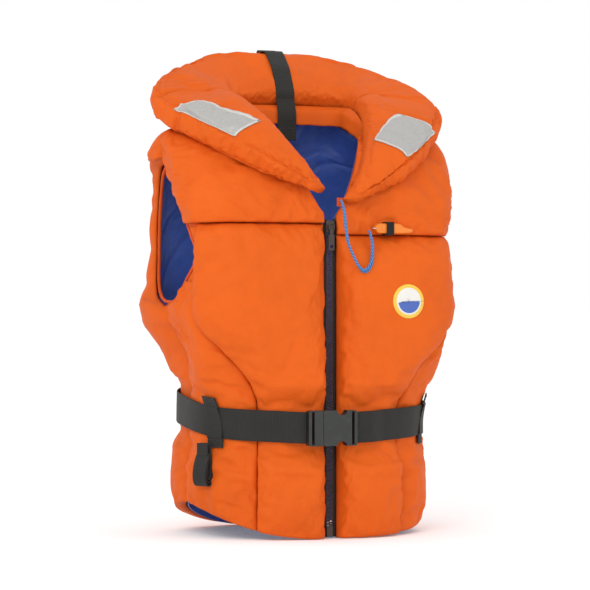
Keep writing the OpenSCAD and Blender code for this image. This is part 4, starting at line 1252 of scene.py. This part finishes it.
for side, sign in SIDES:
    boxes = []
    for k in range(int((ZIP_TOP - END_BOX_H - EASE) / PITCH)):
        z = END_BOX_H + EASE + (k + (0.0 if sign > 0 else 0.5)) * PITCH + 0.3
        if z + TOOTH_H <= ZIP_TOP:
            boxes.append(zip_box(sign, -0.5, TEETH_OUT, 0, z, z + TOOTH_H))
    boxes.append(zip_box(sign, TEETH_OUT - 0.9, TEETH_OUT + 0.5, 0.5, END_BOX_H + EASE, ZIP_TOP))
    o = box_parts(boxes, f"{side}_zip_chain", ZIP_PLASTIC, 0.45)
    finish_piece(o, "jacket", "zip_plastic", f"{side}_zip_teeth")
    z = np.linspace(1, ZIP_TOP, 160)[:, None]
    x = np.linspace(TEETH_OUT, FRONT_GAP - EASE, 8)[None, :] * sign
    if sign < 0:
        x = x[:, ::-1]
    y = ZIP_Y + 0.25 * noise(91, z / 14, x / 3) + 0 * x
    middle, half = np.stack(np.broadcast_arrays(x, y, z), -1), np.array([0, TAPE_T / 2, 0])
    o = slab(f"{side}_zip_cloth", middle - half, middle + half, TAPE)
    finish_piece(o, "jacket", "zip_fabric", f"{side}_zip_tape")

# folded tab that holds the lanyard, coming from behind the neck edge
x = np.concatenate([np.linspace(26, 9, 14), np.full(3, 8.2), np.linspace(9, 26, 14)])
y = np.concatenate([np.full(14, -116.6), [-116.0, -115.2, -114.4], np.full(14, -113.8)])
centre = np.stack([x, y, np.full(len(x), 429.0)], -1)
strap("lanyard_tab", "lanyard_anchor", centre, (0, 0, 1), 11, 1.0, BINDING_AND_SEAM_SHADE, slot="shell_fabric")

for material, nodes in ((ZIP_PLASTIC, ("zip_slider", "zip_pull_tab", "zip_end_box")),
                        (PLASTIC, ("buckle_socket", "buckle_plug", "buckle_upper_prong",
                                   "buckle_lower_prong")),
                        (STEEL, ("whistle_ring",)), (ELASTIC, ("whistle_loop",))):
    for node in nodes:
        NODES[node].data.materials.clear()
        NODES[node].data.materials.append(material)

# ------ spare webbing, folded into a hanging coil
HANG_A = math.radians(56.5178)
BUNDLE_W, FOLD_Y, FOLD_Z, LOOP_DROP = 21, -5.6, -3.6, LOOP_H / 2 + 10
hang_point = MIRROR * skin(np.array(LOOP_A + 4.0), belt_mid(LOOP_A) - LOOP_DROP, np.array(BELT_OFF + 2.5),
                           RISE["right"])
hang_x = np.array([-math.cos(HANG_A), math.sin(HANG_A), 0])
hang_y = np.array([math.sin(HANG_A), math.cos(HANG_A), 0])


def at_bundle(y, z):
    y, z = np.asarray(y, float), np.asarray(z, float)
    return hang_point + y[..., None] * hang_y + z[..., None] * np.array([0, 0, 1.0])


coil_y, coil_z = [], []
for k, (depth, drop) in enumerate(((19, 41), (14.5, 35), (10, 29))):
    s = np.linspace(0, 1, 40)[:-1]
    belly = np.sin(2 * math.pi * s) * np.sin(math.pi * s) ** 0.8
    coil_y.append(FOLD_Y - 3.0 * np.sin(math.pi * s) - depth / 2 * belly)
    coil_z.append(FOLD_Z + 3.4 - 1.9 * k - drop * (1 - np.cos(2 * math.pi * s)) / 2)
coil = catmull(np.stack([np.concatenate(coil_y), np.concatenate(coil_z), np.zeros(117)], -1)[::3], 260)
strap("spare_strap_coil", "strap_bundle", at_bundle(coil[:, 0], coil[:, 1]), hang_x, BUNDLE_W,
      body="strap_bundle", out=-1)

# strip that holds the coil: it comes from behind the belt loop and turns round the pin
turn = np.linspace(0, math.pi, 14)
y = np.concatenate([np.full(8, FOLD_Y - 3.6), FOLD_Y - 3.6 * np.cos(turn), np.full(8, FOLD_Y + 3.6)])
z = np.concatenate([np.linspace(13, 1, 8), FOLD_Z + 3.4 - 3.6 * np.sin(turn) - 1.2, np.linspace(1, 13, 8)])
strap("coil_strip", "bundle_hanger", at_bundle(y, z), hang_x, 17, out=-1)


# ------ patch and its stitched motif
def on_panel(x, z, off):
    """Point of the finished left front panel in front of x, z, moved out by off."""
    cloth = FINAL["left_front_panel"]
    flat, flat_n = cloth.reshape(-1, 3), normals_of(cloth).reshape(-1, 3)
    keep = flat[:, 1] < -60
    flat, flat_n = flat[keep], flat_n[keep]
    x, z = np.broadcast_arrays(np.asarray(x, float), np.asarray(z, float))
    out, out_n = np.zeros(x.shape + (3,)), np.zeros(x.shape + (3,))
    for index in np.ndindex(x.shape):
        d = (flat[:, 0] - x[index]) ** 2 + (flat[:, 2] - z[index]) ** 2
        near = np.argsort(d)[:9]
        w = np.exp(-d[near] / 18)
        n = unit((flat_n[near] * w[:, None]).sum(0))
        slope = (flat[near, 0] - x[index]) * n[0] + (flat[near, 2] - z[index]) * n[2]
        y = ((flat[near, 1] + slope / n[1]) * w).sum() / w.sum()
        out[index] = np.array([x[index], y, z[index]]) + n * off
        out_n[index] = n
    return out, out_n


PATCH_X, PATCH_Z, PATCH_R = 96, 302, 22


def patch_piece(name, outline, low, high, material):
    """A flat embroidered shape lying on the panel: outline gives its two coordinates at each angle."""
    angle = np.linspace(0, 2 * math.pi, 49)
    share = np.array([0.02, 0.35, 0.7, 0.93, 0.99, 1.0])
    dome = np.array([1, 1, 1, 1, 0.75, 0.1])
    u, v = outline(angle)
    x = PATCH_X + share[:, None] * u[None]
    z = PATCH_Z + share[:, None] * v[None]
    top, n = on_panel(x, z, 0)
    upper = top + n * (low + (high - low) * dome)[:, None, None]
    return slab(name, upper, top + n * low, material)


def ring(radius):
    return lambda a: (radius * np.cos(a), radius * np.sin(a))


def wave_shape(level):
    def outline(a):
        r = 15.2
        u = r * np.cos(a)
        v = np.where(np.sin(a) > 0, level + 1.7 * np.cos(u * 0.62), -np.sqrt(np.maximum(r * r - u * u, 0)))
        return u, np.minimum(v, np.sqrt(np.maximum(r * r - u * u, 0)))
    return outline


o = patch_piece("patch_rim", ring(PATCH_R), 0.15, 1.5, PATCH)
finish_piece(o, "jacket", "patch_fabric", "round_patch")
o = patch_piece("patch_ground", ring(17.5), 1.2, 1.9, PATCH_WHITE)
finish_piece(o, "jacket", "patch_fabric")
o = patch_piece("patch_waves", wave_shape(-2.0), 1.7, 2.3, PATCH_BLUE)
finish_piece(o, "jacket", "patch_fabric")

# ------ whistle
WHISTLE_L, WHISTLE_T, BODY_H = 54, 11, 13
WHISTLE_AT = np.array([82, -(FRONT_D + 13.8 + WHISTLE_T / 2), SEAM_Z["left"] + 7.5 + 2])
TURN = math.radians(5)


def at_whistle(p):
    x, y, z = p[..., 0], p[..., 1], p[..., 2]
    return np.stack([x * math.cos(TURN) - y * math.sin(TURN), x * math.sin(TURN) + y * math.cos(TURN), z],
                    -1) + WHISTLE_AT


def pillowed(name, outline, thick, edge, material, place):
    """An outline in x and z, given thickness along y, with rounded rims."""
    outline = np.asarray(outline, float)
    t = unit(np.roll(outline, -1, 0) - np.roll(outline, 1, 0))
    inward = np.stack([-t[:, 1], t[:, 0]], -1)
    rings = [(-thick / 2 + edge * (1 - math.cos(q)), edge * (1 - math.sin(q)))
             for q in np.linspace(0, math.pi / 2, 5)]
    rings += [(-y, inset) for y, inset in rings[::-1]]
    n = len(outline)
    points = []
    for y, inset in rings:
        p = outline + inward * inset
        points.append(np.stack([p[:, 0], np.full(n, y), p[:, 1]], -1))
    points = place(np.concatenate(points))
    return new_object(name, points, tube_faces(len(rings), n), material)


end, foot = WHISTLE_L / 2, -BODY_H / 2
mouth = foot + BODY_H * 0.6
body = []
for a in np.linspace(90, 270, 19):
    body.append((-end - foot - foot * math.cos(math.radians(a)), -foot * math.sin(math.radians(a))))
body += [(-end - foot + x, foot) for x in (8, 18, 28)]
body += [(end - 5, foot + 0.4), (end - 1.5, foot + 1.6), (end, foot + 2.6)]
body += [(end, mouth - 2.4), (end - 2, mouth - 1.4), (end - 7, mouth - 0.4)]
body += [(14, 2.2), (11, 4.6), (8.5, -foot - 0.4), (4, -foot), (-6, -foot), (-14, -foot)]
whistle_body = pillowed("whistle_body", body, WHISTLE_T - 0.6, 2.2, WHISTLE, at_whistle)
finish_piece(whistle_body, "whistle", "whistle_plastic", "whistle")

# ------ floor and light
def plane(name, size, z, material):
    p = np.array([[-size, -size, z], [size, -size, z], [size, size, z], [-size, size, z]], float)
    return new_object(name, p, [[0, 1, 2, 3]], material)


ground = Nodes("floor", (0.94, 0.94, 0.94), 0.9, specular=0.0)
ground.set("Emission Color", (1, 1, 1, 1))
ground.set("Emission Strength", 0.1)
floor = plane("floor", 60000, -1.0, ground.material)

world = bpy.data.worlds.new("studio")
SCENE.world = world
world.use_nodes = True
world.node_tree.nodes["Background"].inputs["Color"].default_value = (1, 1, 1, 1)
world.node_tree.nodes["Background"].inputs["Strength"].default_value = 1.0
SCENE.view_settings.view_transform = "Standard"


def lamp(name, place, aim, size, power):
    data = bpy.data.lights.new(name, "AREA")
    data.shape, data.size, data.energy = "SQUARE", size, power
    o = bpy.data.objects.new(name, data)
    COLLECTION.objects.link(o)
    o.location = place
    o.rotation_euler = (Vector(aim) - Vector(place)).to_track_quat("-Z", "Y").to_euler()


lamp("key", (-1.9, -2.3, 2.0), (0, 0, 0.35), 1.6, 34)
lamp("fill", (2.2, -2.2, 1.0), (0, 0, 0.3), 2.0, 7)
